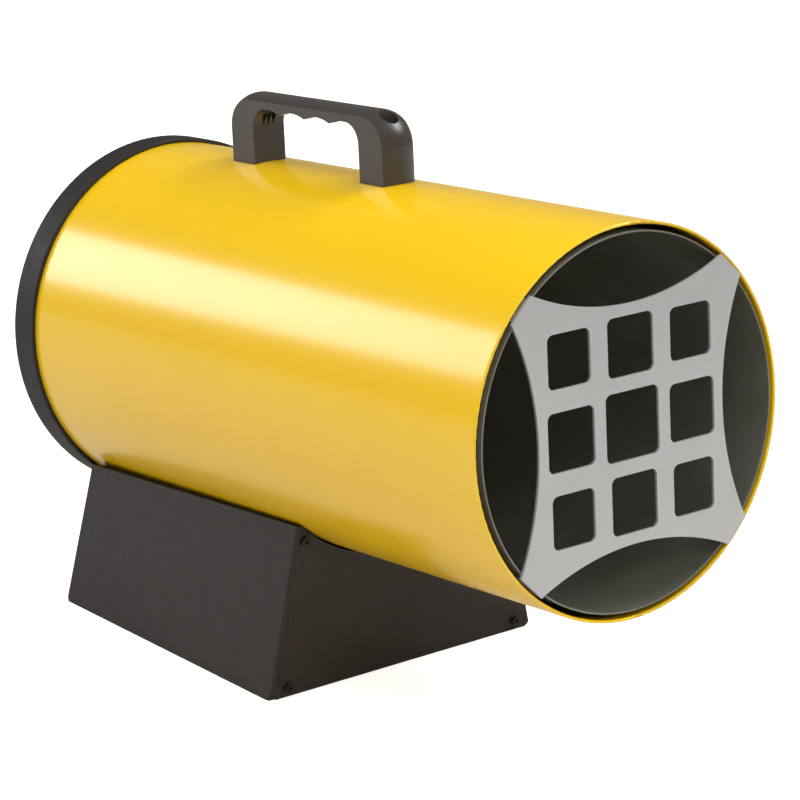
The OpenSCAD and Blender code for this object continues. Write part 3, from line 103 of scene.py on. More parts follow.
def makeFinish(name, look):
    mat = bpy.data.materials.new(name)
    mat.use_nodes = True
    tree = mat.node_tree
    shader = next(n for n in tree.nodes if n.type == "BSDF_PRINCIPLED")
    place = addNode(tree, "ShaderNodeTexCoord").outputs["Object"]
    for socket, key in (("Metallic", "metal"), ("Coat Weight", "coat"), ("Coat Roughness", "coatRough"),
                        ("Specular IOR Level", "gloss")):
        if key in look:
            shader.inputs[socket].default_value = look[key]
    # slow drift of the colour over the piece
    drift = spread(tree, noiseOn(tree, place, look["driftScale"], pattern["driftDetail"]), *pattern["drift"])
    colour = blendColours(tree, drift, look["colour"], look["shade"])
    if "specks" in look:  # fine flecks in paint, casting or plastic
        specks = look["specks"]
        fleck = spread(tree, noiseOn(tree, place, specks["scale"], pattern["speckDetail"]),
                       specks["from"], specks["to"])
        colour = blendColours(tree, fleck, colour, specks["colour"])
    if "smudge" in look:  # heat tint, tarnish or handling marks in uneven patches
        smudge = look["smudge"]
        cloud = noiseOn(tree, place, smudge["scale"], pattern["smudgeDetail"],
                        roughness=pattern["smudgeBreakup"])
        patch = spread(tree, cloud, smudge["from"], smudge["to"], 0.0, smudge["amount"])
        colour = blendColours(tree, patch, colour, smudge["colour"])
    mottle = noiseOn(tree, place, look["roughScale"], pattern["roughDetail"], look.get("brushStretch"))
    rough = spread(tree, mottle, *pattern["rough"], *look["rough"])
    if "wearAndSheen" in look:  # lighter along the edges: rubbed wear on metal and paint, a painted highlight on the enamel hems and the plastics
        wearAndSheen = look["wearAndSheen"]
        bevel = addNode(tree, "ShaderNodeBevel", {"Radius": wearAndSheen["width"]}, samples=pattern["bevelSamples"])
        flat = addNode(tree, "ShaderNodeNewGeometry")
        dot = addNode(tree, "ShaderNodeVectorMath", operation="DOT_PRODUCT")
        tree.links.new(bevel.outputs["Normal"], dot.inputs[0])
        tree.links.new(flat.outputs["Normal"], dot.inputs[1])
        # the edge mask carries both real wear and a painted edge highlight
        edge = spread(tree, dot.outputs["Value"], *pattern["edge"])
        broken = spread(tree, noiseOn(tree, place, wearAndSheen["scale"], pattern["wearAndSheenDetail"]),
                        *pattern["wearAndSheen"], 0.0, wearAndSheen["amount"])
        edgeWearAndSheen = addNode(tree, "ShaderNodeMath", operation="MULTIPLY")
        tree.links.new(edge, edgeWearAndSheen.inputs[0])
        tree.links.new(broken, edgeWearAndSheen.inputs[1])
        colour = blendColours(tree, edgeWearAndSheen.outputs["Value"], colour, wearAndSheen["colour"])
    tree.links.new(colour, shader.inputs["Base Color"])
    tree.links.new(rough, shader.inputs["Roughness"])
    # surface: a fine grain over a slower unevenness of the sheet or the moulding
    scale, strength, depth = look["grain"]
    fine = addNode(tree, "ShaderNodeBump", {"Strength": strength, "Distance": depth})
    tree.links.new(noiseOn(tree, place, scale, pattern["grainDetail"], look.get("grainStretch")),
                   fine.inputs["Height"])
    if "waves" in look:
        scale, strength, depth = look["waves"]
        slow = addNode(tree, "ShaderNodeBump", {"Strength": strength, "Distance": depth})
        tree.links.new(noiseOn(tree, place, scale, pattern["waveDetail"]), slow.inputs["Height"])
        tree.links.new(slow.outputs["Normal"], fine.inputs["Normal"])
    if "ribs" in look:  # laminations or a turned surface: fine lines across one direction
        ribs = look["ribs"]
        wave = addNode(tree, "ShaderNodeTexWave", {"Scale": ribs["scale"], "Distortion": 0.0},
                       bands_direction=ribs["along"])
        tree.links.new(place, wave.inputs["Vector"])
        line = addNode(tree, "ShaderNodeBump", {"Strength": ribs["strength"], "Distance": ribs["depth"]})
        tree.links.new(wave.outputs["Fac"], line.inputs["Height"])
        tree.links.new(fine.outputs["Normal"], line.inputs["Normal"])
        fine = line
    tree.links.new(fine.outputs["Normal"], shader.inputs["Normal"])
    return mat


# finishes, by what they are on the heater; grain, waves: scale, strength, depth
looks = {
    "yellowEnamel": {
        "colour": paint(240, 194, 9), "shade": paint(237, 190, 6), "driftScale": 7,
        "rough": (0.23, 0.26), "roughScale": 90, "gloss": 0.5, "coat": 0.3, "coatRough": 0.13,
        "grain": (1500, 0.03, 0.0002), "waves": (30, 0.03, 0.0005),
        "specks": {"scale": 700, "from": 0.66, "to": 0.8, "colour": paint(236, 192, 14)},
        # the brighter yellow along the edges is a painted highlight on the hems
        "wearAndSheen": {"colour": paint(250, 216, 70), "width": 0.0012, "scale": 160, "amount": 0.5}},
    "brownSheet": {
        "colour": paint(46, 41, 40), "shade": paint(42, 37, 36), "driftScale": 9,
        "rough": (0.46, 0.58), "roughScale": 120, "gloss": 0.35,
        "grain": (2600, 0.32, 0.0003), "waves": (45, 0.04, 0.0006),
        "specks": {"scale": 1900, "from": 0.6, "to": 0.78, "colour": paint(70, 65, 62)},
        "wearAndSheen": {"colour": paint(104, 99, 95), "width": 0.0009, "scale": 220, "amount": 0.45}},
    "handlePlastic": {
        "colour": paint(64, 59, 56), "shade": paint(59, 54, 51), "driftScale": 12,
        "rough": (0.26, 0.36), "roughScale": 90, "gloss": 0.6,
        "grain": (3200, 0.2, 0.0002),
        # the lighter edge colour on the handle is a painted sheen on the plastic
        "wearAndSheen": {"colour": paint(98, 94, 90), "width": 0.0012, "scale": 260, "amount": 0.3}},
    "ringPlastic": {
        "colour": paint(48, 45, 43), "shade": paint(43, 40, 38), "driftScale": 12,
        "rough": (0.52, 0.62), "roughScale": 90, "gloss": 0.22,
        "grain": (3200, 0.2, 0.0002),
        # the lighter edge colour on the ring is a painted sheen on the plastic
        "wearAndSheen": {"colour": paint(84, 80, 76), "width": 0.0009, "scale": 260, "amount": 0.3}},
    "controlPlastic": {
        "colour": paint(34, 33, 33), "shade": paint(27, 26, 26), "driftScale": 40,
        "rough": (0.36, 0.5), "roughScale": 200, "gloss": 0.5,
        "grain": (3600, 0.25, 0.0002),
        # the lighter edge colour on the controls is a painted sheen on the plastic
        "wearAndSheen": {"colour": paint(84, 82, 80), "width": 0.0006, "scale": 400, "amount": 0.35}},
    "grilleSteel": {
        "colour": paint(188, 188, 187), "shade": paint(182, 182, 181), "driftScale": 14,
        "metal": 0.45, "rough": (0.34, 0.42), "roughScale": 60, "brushStretch": (1, 1, 14),
        "grain": (1400, 0.06, 0.0002), "grainStretch": (1, 1, 16),
        "smudge": {"scale": 22, "from": 0.5, "to": 0.75, "amount": 0.15, "colour": paint(160, 159, 156)},
        "wearAndSheen": {"colour": paint(206, 206, 204), "width": 0.0006, "scale": 300, "amount": 0.6}},
    "heatedSteel": {
        "colour": paint(126, 127, 117), "shade": paint(111, 112, 103), "driftScale": 10,
        "metal": 0.3, "rough": (0.34, 0.46), "roughScale": 30, "brushStretch": (1, 12, 1),
        "grain": (900, 0.08, 0.0002), "grainStretch": (1, 14, 1),
        "smudge": {"scale": 12, "from": 0.45, "to": 0.7, "amount": 0.5, "colour": paint(92, 84, 66)}},
    "zincSteel": {
        "colour": paint(186, 189, 194), "shade": paint(170, 172, 176), "driftScale": 60,
        "metal": 1.0, "rough": (0.28, 0.42), "roughScale": 160,
        "grain": (1800, 0.1, 0.0001),
        "smudge": {"scale": 70, "from": 0.5, "to": 0.72, "amount": 0.4, "colour": paint(186, 172, 130)},
        "wearAndSheen": {"colour": paint(226, 228, 230), "width": 0.0004, "scale": 400, "amount": 0.6}},
    "castAlloy": {
        "colour": paint(172, 174, 176), "shade": paint(158, 160, 161), "driftScale": 30,
        "metal": 0.9, "rough": (0.42, 0.58), "roughScale": 120,
        "grain": (1100, 0.4, 0.0003),
        "specks": {"scale": 900, "from": 0.62, "to": 0.78, "colour": paint(126, 127, 128)},
        "wearAndSheen": {"colour": paint(214, 215, 216), "width": 0.0008, "scale": 260, "amount": 0.5}},
    "laminatedSteel": {
        "colour": paint(120, 118, 114), "shade": paint(98, 95, 90), "driftScale": 40,
        "metal": 0.8, "rough": (0.4, 0.55), "roughScale": 120,
        "grain": (1200, 0.15, 0.0002), "ribs": {"scale": 310, "along": "Y", "strength": 0.7, "depth": 0.0003},
        "smudge": {"scale": 60, "from": 0.5, "to": 0.7, "amount": 0.5, "colour": paint(108, 72, 48)}},
    "blackWire": {
        "colour": paint(38, 37, 36), "shade": paint(30, 29, 29), "driftScale": 30,
        "rough": (0.3, 0.42), "roughScale": 150, "gloss": 0.5, "coat": 0.1,
        "grain": (1600, 0.16, 0.0002),
        "wearAndSheen": {"colour": paint(94, 92, 90), "width": 0.0008, "scale": 300, "amount": 0.3}},
    "blackScrew": {
        "colour": paint(40, 38, 37), "shade": paint(30, 29, 28), "driftScale": 80,
        "metal": 0.5, "rough": (0.3, 0.45), "roughScale": 300,
        "grain": (2500, 0.2, 0.0001),
        "wearAndSheen": {"colour": paint(112, 108, 104), "width": 0.0003, "scale": 500, "amount": 0.5}},
    "brass": {
        "colour": paint(206, 168, 88), "shade": paint(190, 150, 72), "driftScale": 50,
        "metal": 1.0, "rough": (0.24, 0.38), "roughScale": 180,
        "grain": (2000, 0.08, 0.0001),
        "smudge": {"scale": 90, "from": 0.5, "to": 0.72, "amount": 0.45, "colour": paint(150, 104, 52)},
        "wearAndSheen": {"colour": paint(232, 202, 128), "width": 0.0004, "scale": 400, "amount": 0.6}},
    "copper": {
        "colour": paint(196, 122, 84), "shade": paint(178, 104, 68), "driftScale": 50,
        "metal": 1.0, "rough": (0.26, 0.4), "roughScale": 160,
        "grain": (1800, 0.08, 0.0001),
        "smudge": {"scale": 60, "from": 0.48, "to": 0.7, "amount": 0.6, "colour": paint(116, 70, 50)}},
    "whiteCeramic": {
        "colour": paint(226, 221, 209), "shade": paint(214, 208, 194), "driftScale": 60,
        "rough": (0.34, 0.5), "roughScale": 200,
        "grain": (1500, 0.15, 0.0001),
        "smudge": {"scale": 120, "from": 0.55, "to": 0.75, "amount": 0.35, "colour": paint(150, 132, 104)}},
    "leadRubber": {
        "colour": paint(44, 43, 42), "shade": paint(34, 33, 33), "driftScale": 50,
        "rough": (0.5, 0.65), "roughScale": 200,
        "grain": (2200, 0.2, 0.0001)},
    "redButton": {
        "colour": paint(178, 30, 24), "shade": paint(164, 24, 20), "driftScale": 60,
        "rough": (0.2, 0.3), "roughScale": 200, "coat": 0.3,
        "grain": (1500, 0.05, 0.0001),
        "wearAndSheen": {"colour": paint(206, 74, 62), "width": 0.0005, "scale": 400, "amount": 0.4}},
    "whiteButton": {
        "colour": paint(226, 224, 216), "shade": paint(214, 211, 202), "driftScale": 60,
        "rough": (0.22, 0.32), "roughScale": 200, "coat": 0.2,
        "grain": (1500, 0.05, 0.0001),
        "wearAndSheen": {"colour": paint(240, 239, 234), "width": 0.0005, "scale": 400, "amount": 0.4}},
    "blockPlastic": {
        "colour": paint(222, 218, 204), "shade": paint(210, 205, 190), "driftScale": 50,
        "rough": (0.4, 0.52), "roughScale": 200,
        "grain": (1800, 0.12, 0.0001),
        "wearAndSheen": {"colour": paint(238, 236, 226), "width": 0.0006, "scale": 300, "amount": 0.4}},
}
finish = {name: makeFinish(name, look) for name, look in looks.items()}

finishOf = {
    "casing": "yellowEnamel", "combustion_chamber": "heatedSteel", "chamber_spacers": "zincSteel",
    "outlet_grille": "grilleSteel", "rear_ring": "ringPlastic", "inlet_guard": "blackWire",
    "guard_screws": "zincSteel", "handle": "handlePlastic", "handle_screws": "zincSteel",
    "handle_nuts": "zincSteel", "motor_bracket": "zincSteel", "motor_stator": "laminatedSteel",
    "motor_windings": "copper", "motor_front_shield": "castAlloy", "motor_rear_shield": "castAlloy",
    "motor_bearings": "brass", "motor_bolts": "zincSteel", "motor_rotor": "castAlloy",
    "motor_shaft": "zincSteel", "fan_rotor": "castAlloy", "fan_nut": "zincSteel",
    "burner_cup": "heatedSteel", "burner_bracket": "zincSteel", "gas_nozzle": "brass",
    "gas_pipe": "copper", "pipe_nuts": "brass", "ignition_electrode": "whiteCeramic",
    "ignition_lead": "leadRubber", "thermocouple": "copper", "motor_lead": "leadRubber",
    "overheat_thermostat": "controlPlastic", "gas_valve": "brass", "valve_button": "redButton",
    "gas_inlet": "brass", "igniter_body": "controlPlastic", "igniter_button": "whiteButton",
    "control_nuts": "zincSteel", "switch_body": "controlPlastic", "switch_rocker": "controlPlastic",
    "cable_gland": "controlPlastic", "gland_nut": "controlPlastic", "terminal_block": "blockPlastic",
    "base_pan": "brownSheet", "front_panel": "brownSheet", "control_panel": "brownSheet",
    "front_panel_screws": "blackScrew", "control_panel_screws": "blackScrew", "base_rivets": "zincSteel",
}
for name, kind in finishOf.items():
    slots = node[name].data.materials
    slots.clear()
    slots.append(finish[kind])
print("finishes set:", len(finish), "on", len(finishOf), "nodes")


# small repeated parts, grown by geometry nodes and then kept as plain meshes
weldWithin = 2e-6  # corners closer than this become one
seamAngle = 35  # sharper edges stay creased
roundAngle = 80  # the same for wires, beads and threads
# sides, rings or steps of the round forms
facets = {"screw": 32, "screwRings": 16, "shank": 24, "bead": 2, "thread": 32, "threadSection": 6,
          "winding": 64, "strandSection": 5, "mark": 32}


def growTree(name, sizes, counts=()):  # a new tree with one named input for each size and count
    tree = bpy.data.node_groups.new(name, "GeometryNodeTree")
    tree.interface.new_socket("Geometry", in_out="OUTPUT", socket_type="NodeSocketGeometry")
    keys = {}
    for label in counts + sizes:
        kind = "NodeSocketInt" if label in counts else "NodeSocketFloat"
        keys[label] = tree.interface.new_socket(label, in_out="INPUT", socket_type=kind).identifier
    return tree, tree.nodes.new("NodeGroupInput"), tree.nodes.new("NodeGroupOutput"), keys


def calc(tree, operation, first, second):
    made = tree.nodes.new("ShaderNodeMath")
    made.operation = operation
    feed(tree, made.inputs, (first, second))
    return made.outputs["Value"]


def triple(tree, x=0.0, y=0.0, z=0.0):
    made = tree.nodes.new("ShaderNodeCombineXYZ")
    feed(tree, made.inputs, (x, y, z))
    return made.outputs["Vector"]


def plug(tree, made, values):  # feeds a node's inputs by their names
    feed(tree, [made.inputs[label] for label in values], values.values())
    return made


def endTree(tree, out, shape, material):
    real = plug(tree, tree.nodes.new("GeometryNodeRealizeInstances"), {"Geometry": shape})
    coat = plug(tree, tree.nodes.new("GeometryNodeSetMaterial"), {"Geometry": real.outputs["Geometry"]})
    coat.inputs["Material"].default_value = material
    tree.links.new(coat.outputs["Geometry"], out.inputs["Geometry"])


def harvest(name, tree, keys, sizes, places):  # one plain mesh from the tree, copied to each place
    carrier = bpy.data.objects.new(name + "Carrier", bpy.data.meshes.new(name + "Carrier"))
    bpy.context.scene.collection.objects.link(carrier)
    grow = carrier.modifiers.new("grow", "NODES")
    grow.node_group = tree
    for label, key in keys.items():
        grow[key] = sizes[label]
    carrier.update_tag()
    bpy.context.view_layer.update()
    solved = carrier.evaluated_get(bpy.context.evaluated_depsgraph_get())
    grown = bpy.data.meshes.new_from_object(solved)
    whole = bmesh.new()
    for place in places:
        copy = grown.copy()
        copy.transform(place)
        whole.from_mesh(copy)
        bpy.data.meshes.remove(copy)
    bmesh.ops.remove_doubles(whole, verts=whole.verts[:], dist=weldWithin)
    bmesh.ops.dissolve_degenerate(whole, edges=whole.edges[:], dist=weldWithin)
    mesh = bpy.data.meshes.new(name)
    whole.to_mesh(mesh)
    whole.free()
    for material in grown.materials:
        mesh.materials.append(material)
    carrier.modifiers.remove(grow)
    bpy.data.objects.remove(carrier)
    bpy.data.meshes.remove(grown)
    piece = bpy.data.objects.new(name, mesh)
    bpy.context.scene.collection.objects.link(piece)
    return piece


def smooth(piece, angle=seamAngle):
    for face in piece.data.polygons:
        face.use_smooth = True
    piece.data.set_sharp_from_angle(angle=math.radians(angle))


rearward = Matrix.Rotation(math.radians(-90), 4, "X")  # turns a piece's z axis to y


def roundTube(angle):  # turns a piece about the tube's axis
    return Matrix.Rotation(math.radians(angle), 4, "Y")


def outOfPanel(at):  # stands a piece at a place on the control panel, its z axis outward
    return panelTurn @ Matrix.Translation(at) @ rearward


# pan head screws with a cross recess and a washer, drawn with the washer's underside at z = 0
screwSizes = {"headRadius": 0.0034, "headHeight": 0.0026, "washerRadius": 0.0042, "washerHeight": 0.0006,
              "slotLength": 0.0042, "slotWidth": 0.0009, "slotDepth": 0.0014,
              "shankRadius": 0.002, "shankLength": 0.0125}
headShape = {"middle": 0.35, "half": 0.65}  # the ball's middle and half height against the head's height


def screwTree(name, material):
    tree, given, out, keys = growTree(name, tuple(screwSizes))
    g = given.outputs
    washer = plug(tree, tree.nodes.new("GeometryNodeMeshCylinder"), {
        "Vertices": facets["screw"], "Radius": g["washerRadius"], "Depth": g["washerHeight"]})
    lift = plug(tree, tree.nodes.new("GeometryNodeTransform"), {
        "Geometry": washer.outputs["Mesh"],
        "Translation": triple(tree, z=calc(tree, "MULTIPLY", g["washerHeight"], 0.5))})
    # the head: a flattened ball that sinks a little below its seat
    ball = plug(tree, tree.nodes.new("GeometryNodeMeshUVSphere"), {
        "Segments": facets["screw"], "Rings": facets["screwRings"], "Radius": g["headRadius"]})
    half = calc(tree, "MULTIPLY", g["headHeight"], headShape["half"])
    squeeze = plug(tree, tree.nodes.new("GeometryNodeTransform"), {
        "Geometry": ball.outputs["Mesh"],
        "Translation": triple(tree, z=calc(tree, "MULTIPLY", g["headHeight"], headShape["middle"])),
        "Scale": triple(tree, 1.0, 1.0, calc(tree, "DIVIDE", half, g["headRadius"]))})
    shank = plug(tree, tree.nodes.new("GeometryNodeMeshCylinder"), {
        "Vertices": facets["shank"], "Radius": g["shankRadius"], "Depth": g["shankLength"]})
    sunk = plug(tree, tree.nodes.new("GeometryNodeTransform"), {
        "Geometry": shank.outputs["Mesh"],
        "Translation": triple(tree, z=calc(tree, "MULTIPLY", g["shankLength"], -0.5))})
    slots = []
    for wide, deep in ((g["slotLength"], g["slotWidth"]), (g["slotWidth"], g["slotLength"])):
        box = plug(tree, tree.nodes.new("GeometryNodeMeshCube"), {
            "Size": triple(tree, wide, deep, calc(tree, "MULTIPLY", g["slotDepth"], 2.0))})
        slots.append(plug(tree, tree.nodes.new("GeometryNodeTransform"), {
            "Geometry": box.outputs["Mesh"], "Translation": triple(tree, z=g["headHeight"])}))
    cut = tree.nodes.new("GeometryNodeMeshBoolean")
    cut.operation = "DIFFERENCE"
    cut.solver = "MANIFOLD"
    tree.links.new(squeeze.outputs["Geometry"], cut.inputs[0])
    for slot in slots:
        tree.links.new(slot.outputs["Geometry"], cut.inputs[1])
    both = tree.nodes.new("GeometryNodeJoinGeometry")
    tree.links.new(lift.outputs["Geometry"], both.inputs[0])
    tree.links.new(cut.outputs["Mesh"], both.inputs[0])
    tree.links.new(sunk.outputs["Geometry"], both.inputs[0])
    endTree(tree, out, both.outputs["Geometry"], material)
    return tree, keys


# ribs standing round an axis: knurled nuts and the gland's grip
def ribTree(name, material):
    tree, given, out, keys = growTree(name, ("radius", "width", "depth", "length"), ("count",))
    g = given.outputs
    ring = plug(tree, tree.nodes.new("GeometryNodeMeshCircle"), {
        "Vertices": g["count"], "Radius": g["radius"]})
    rib = plug(tree, tree.nodes.new("GeometryNodeMeshCube"), {
        "Size": triple(tree, g["depth"], g["width"], g["length"])})
    where = tree.nodes.new("GeometryNodeInputPosition")
    face = plug(tree, tree.nodes.new("FunctionNodeAlignEulerToVector"), {"Vector": where.outputs["Position"]})
    face.axis = "X"
    ribs = plug(tree, tree.nodes.new("GeometryNodeInstanceOnPoints"), {
        "Points": ring.outputs["Mesh"], "Instance": rib.outputs["Mesh"],
        "Rotation": face.outputs["Rotation"]})
    endTree(tree, out, ribs.outputs["Instances"], material)
    return tree, keys


# a screw thread: a thin rib wound round an axis
def threadTree(name, material):
    tree, given, out, keys = growTree(name, ("turns", "radius", "length", "rib"))
    g = given.outputs
    wind = plug(tree, tree.nodes.new("GeometryNodeCurveSpiral"), {
        "Resolution": facets["thread"], "Rotations": g["turns"], "Height": g["length"],
        "Start Radius": g["radius"], "End Radius": g["radius"]})
    section = plug(tree, tree.nodes.new("GeometryNodeCurvePrimitiveCircle"), {
        "Resolution": facets["threadSection"], "Radius": g["rib"]})
    sweep = plug(tree, tree.nodes.new("GeometryNodeCurveToMesh"), {
        "Curve": wind.outputs["Curve"], "Profile Curve": section.outputs["Curve"], "Fill Caps": True})
    endTree(tree, out, sweep.outputs["Mesh"], material)
    return tree, keys


beadStretch = (1.25, 0.62, 1.0)  # longer along the spoke, flatter against it


# weld nuggets where the guard's rings cross one spoke, along x
def weldTree(name, material):
    tree, given, out, keys = growTree(name, ("first", "step", "size"), ("count",))
    g = given.outputs
    row = plug(tree, tree.nodes.new("GeometryNodeMeshLine"), {
        "Count": g["count"], "Start Location": triple(tree, g["first"]),
        "Offset": triple(tree, calc(tree, "MULTIPLY", g["step"], -1.0))})
    bead = plug(tree, tree.nodes.new("GeometryNodeMeshIcoSphere"), {
        "Radius": g["size"], "Subdivisions": facets["bead"]})
    beads = plug(tree, tree.nodes.new("GeometryNodeInstanceOnPoints"), {
        "Points": row.outputs["Mesh"], "Instance": bead.outputs["Mesh"], "Scale": beadStretch})
    endTree(tree, out, beads.outputs["Instances"], material)
    return tree, keys


# wound copper: one strand at each point of the winding's rounded section, turned about z
def windingTree(name, material):
    tree, given, out, keys = growTree(name, ("middle", "width", "height", "corner", "wire"), ("strands",))
    g = given.outputs
    around = plug(tree, tree.nodes.new("GeometryNodeCurvePrimitiveQuadrilateral"), {
        "Width": g["width"], "Height": g["height"]})
    eased = plug(tree, tree.nodes.new("GeometryNodeFilletCurve"), {
        "Curve": around.outputs["Curve"], "Radius": g["corner"]})
    points = plug(tree, tree.nodes.new("GeometryNodeCurveToPoints"), {
        "Curve": eased.outputs["Curve"], "Count": g["strands"]})
    where = tree.nodes.new("GeometryNodeInputPosition")
    part = tree.nodes.new("ShaderNodeSeparateXYZ")
    tree.links.new(where.outputs["Position"], part.inputs["Vector"])
    reach = calc(tree, "ADD", part.outputs["X"], g["middle"])
    section = plug(tree, tree.nodes.new("GeometryNodeCurvePrimitiveCircle"), {
        "Resolution": facets["strandSection"], "Radius": g["wire"]})
    loop = plug(tree, tree.nodes.new("GeometryNodeCurvePrimitiveCircle"), {
        "Resolution": facets["winding"], "Radius": 1.0})
    # each point keeps its reach from the axis, and then moves onto the axis
    store = tree.nodes.new("GeometryNodeStoreNamedAttribute")
    store.data_type = "FLOAT"
    store.domain = "POINT"
    plug(tree, store, {"Geometry": points.outputs["Points"], "Value": reach})
    store.inputs["Name"].default_value = "reach"
    lined = plug(tree, tree.nodes.new("GeometryNodeSetPosition"), {
        "Geometry": store.outputs["Geometry"], "Position": triple(tree, 0.0, 0.0, part.outputs["Y"])})
    read = tree.nodes.new("GeometryNodeInputNamedAttribute")
    read.data_type = "FLOAT"
    read.inputs["Name"].default_value = "reach"
    rings = plug(tree, tree.nodes.new("GeometryNodeInstanceOnPoints"), {
        "Points": lined.outputs["Geometry"], "Instance": loop.outputs["Curve"],
        "Scale": triple(tree, read.outputs["Attribute"], read.outputs["Attribute"], 1.0)})
    real = plug(tree, tree.nodes.new("GeometryNodeRealizeInstances"), {
        "Geometry": rings.outputs["Instances"]})
    sweep = plug(tree, tree.nodes.new("GeometryNodeCurveToMesh"), {
        "Curve": real.outputs["Geometry"], "Profile Curve": section.outputs["Curve"]})
    endTree(tree, out, sweep.outputs["Mesh"], material)
    return tree, keys


# four screws of the inlet guard, heads rearward, and two down the handle's legs, heads up in its holes
guardScrews = {"radius": 0.094, "seat": 0.3997, "angles": (45, 135, 225, 315)}
handleScrews = {"along": (0.1809, 0.3016), "seat": 0.1126,
                "sizes": {"headRadius": 0.0043, "headHeight": 0.0036,
                          "slotLength": 0.0052, "slotWidth": 0.0011, "slotDepth": 0.002,
                          "shankRadius": 0.0025, "shankLength": 0.0169}}
tree, keys = screwTree("panHeadScrew", finish["zincSteel"])
seat = Matrix.Translation((guardScrews["radius"], guardScrews["seat"], 0))
places = [tubeTurn @ roundTube(a) @ seat @ rearward for a in guardScrews["angles"]]
guardHeads = harvest("guardPanScrews", tree, keys, screwSizes, places)
places = [tubeTurn @ Matrix.Translation((0, y, handleScrews["seat"])) for y in handleScrews["along"]]
handleHeads = harvest("handlePanScrews", tree, keys, dict(screwSizes, **handleScrews["sizes"]), places)
for piece in (guardHeads, handleHeads):
    smooth(piece)
    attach(piece, "heater")

# weld beads along the four spokes of the inlet guard
guardWelds = {"count": 6, "first": 0.0784, "step": 0.0104, "size": 0.00165,
              "along": 0.40235, "angles": (0, 90, 180, 270)}
tree, keys = weldTree("guardWelds", finish["blackWire"])
seat = Matrix.Translation((0, guardWelds["along"], 0))
welds = harvest("guardWeldBeads", tree, keys, guardWelds,
                [tubeTurn @ roundTube(a) @ seat for a in guardWelds["angles"]])
smooth(welds, roundAngle)
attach(welds, "heater")

# knurled edges of the two round nuts on the control panel
knurls = {"rib": {"width": 0.0009, "depth": 0.0007, "length": 0.0026},
          "valve": {"at": (-0.04186, 0.0015, 0.038), "radius": 0.0122, "count": 40},
          "igniter": {"at": (-0.00819, 0.0015, 0.027), "radius": 0.0105, "count": 34}}
tree, keys = ribTree("knurledNut", finish["zincSteel"])
for name in ("valve", "igniter"):
    ribs = harvest(name + "NutKnurl", tree, keys, dict(knurls["rib"], **knurls[name]),
                   [outOfPanel(knurls[name]["at"])])
    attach(ribs, "heater")

# ribbed grip of the cable gland's cap
glandGrip = {"at": (0.05369, 0.00995, 0.019), "radius": 0.0084, "count": 22,
             "width": 0.0011, "depth": 0.0011, "length": 0.0095}
tree, keys = ribTree("glandGrip", finish["controlPlastic"])
ribs = harvest("glandCapRibs", tree, keys, glandGrip, [outOfPanel(glandGrip["at"])])
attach(ribs, "heater")

# thread of the gas nipple
nippleThread = {"at": (-0.04186, 0.0088, 0.016), "turns": 8.4,
                "radius": 0.0064, "length": 0.0112, "rib": 0.00055}
tree, keys = threadTree("nippleThread", finish["brass"])
thread = harvest("nippleThreadRib", tree, keys, nippleThread, [outOfPanel(nippleThread["at"])])
smooth(thread, roundAngle)
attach(thread, "heater")

# copper windings at both ends of the stack
windings = {"strands": 44, "middle": 0.02625, "width": 0.0078, "height": 0.0073,
            "corner": 0.0022, "wire": 0.00042, "along": (0.3552, 0.3832)}
tree, keys = windingTree("motorWinding", finish["copper"])
wound = harvest("windingStrands", tree, keys, windings,
                [tubeTurn @ Matrix.Translation((0, y, 0)) @ rearward for y in windings["along"]])
smooth(wound, roundAngle)
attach(wound, "heater")
print("small parts grown")


# the rocker's on and off marks, raised a little and filled white
def markMesh(name, outline, depth):
    made = bmesh.new()
    for ring in outline:
        verts = [made.verts.new((x, 0, z)) for x, z in ring]
        made.faces.new(verts)
    bmesh.ops.remove_doubles(made, verts=made.verts[:], dist=weldWithin)
    solid = bmesh.ops.extrude_face_region(made, geom=made.faces[:])
    raised = [v for v in solid["geom"] if isinstance(v, bmesh.types.BMVert)]
    bmesh.ops.translate(made, verts=raised, vec=(0, depth, 0))
    bmesh.ops.recalc_face_normals(made, faces=made.faces[:])
    mesh = bpy.data.meshes.new(name)
    made.to_mesh(mesh)
    made.free()
    return mesh


# rise and out lead from the rocker's pivot to a mark, turn is the slope of its face there
marks = {"barWidth": 0.0009, "barHeight": 0.0042, "ringOuter": 0.0023, "ringInner": 0.0015, "depth": 0.00025,
         "rise": 0.0066, "out": 0.0061, "turn": 13.35}
rocker = {"at": (0.02548, -0.0025, 0.027), "tilt": -8}
wide, high = marks["barWidth"] / 2, marks["barHeight"] / 2
bar = [[(-wide, -high), (wide, -high), (wide, high), (-wide, high)]]
turns = [2 * math.pi * i / facets["mark"] for i in range(facets["mark"] + 1)]
ring = [[(r * math.cos(t), r * math.sin(t)) for r, t in
         ((marks["ringInner"], a), (marks["ringOuter"], a), (marks["ringOuter"], b), (marks["ringInner"], b))]
        for a, b in zip(turns, turns[1:])]
rockerTurn = Matrix.Rotation(math.radians(rocker["tilt"]), 4, "X")
for name, outline, side in (("markOn", bar, 1), ("markOff", ring, -1)):
    mesh = markMesh(name, outline, marks["depth"])
    mesh.transform(panelTurn @ Matrix.Translation(rocker["at"]) @ rockerTurn @
                   Matrix.Translation((0, marks["out"], side * marks["rise"])) @
                   Matrix.Rotation(math.radians(-side * marks["turn"]), 4, "X"))
    mesh.materials.append(finish["whiteButton"])
    piece = bpy.data.objects.new(name, mesh)
    bpy.context.scene.collection.objects.link(piece)
    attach(piece, "rocker")

# nodes that the grown parts stand for
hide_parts("motor_windings")
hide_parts("guard_screws")
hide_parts("handle_screws")


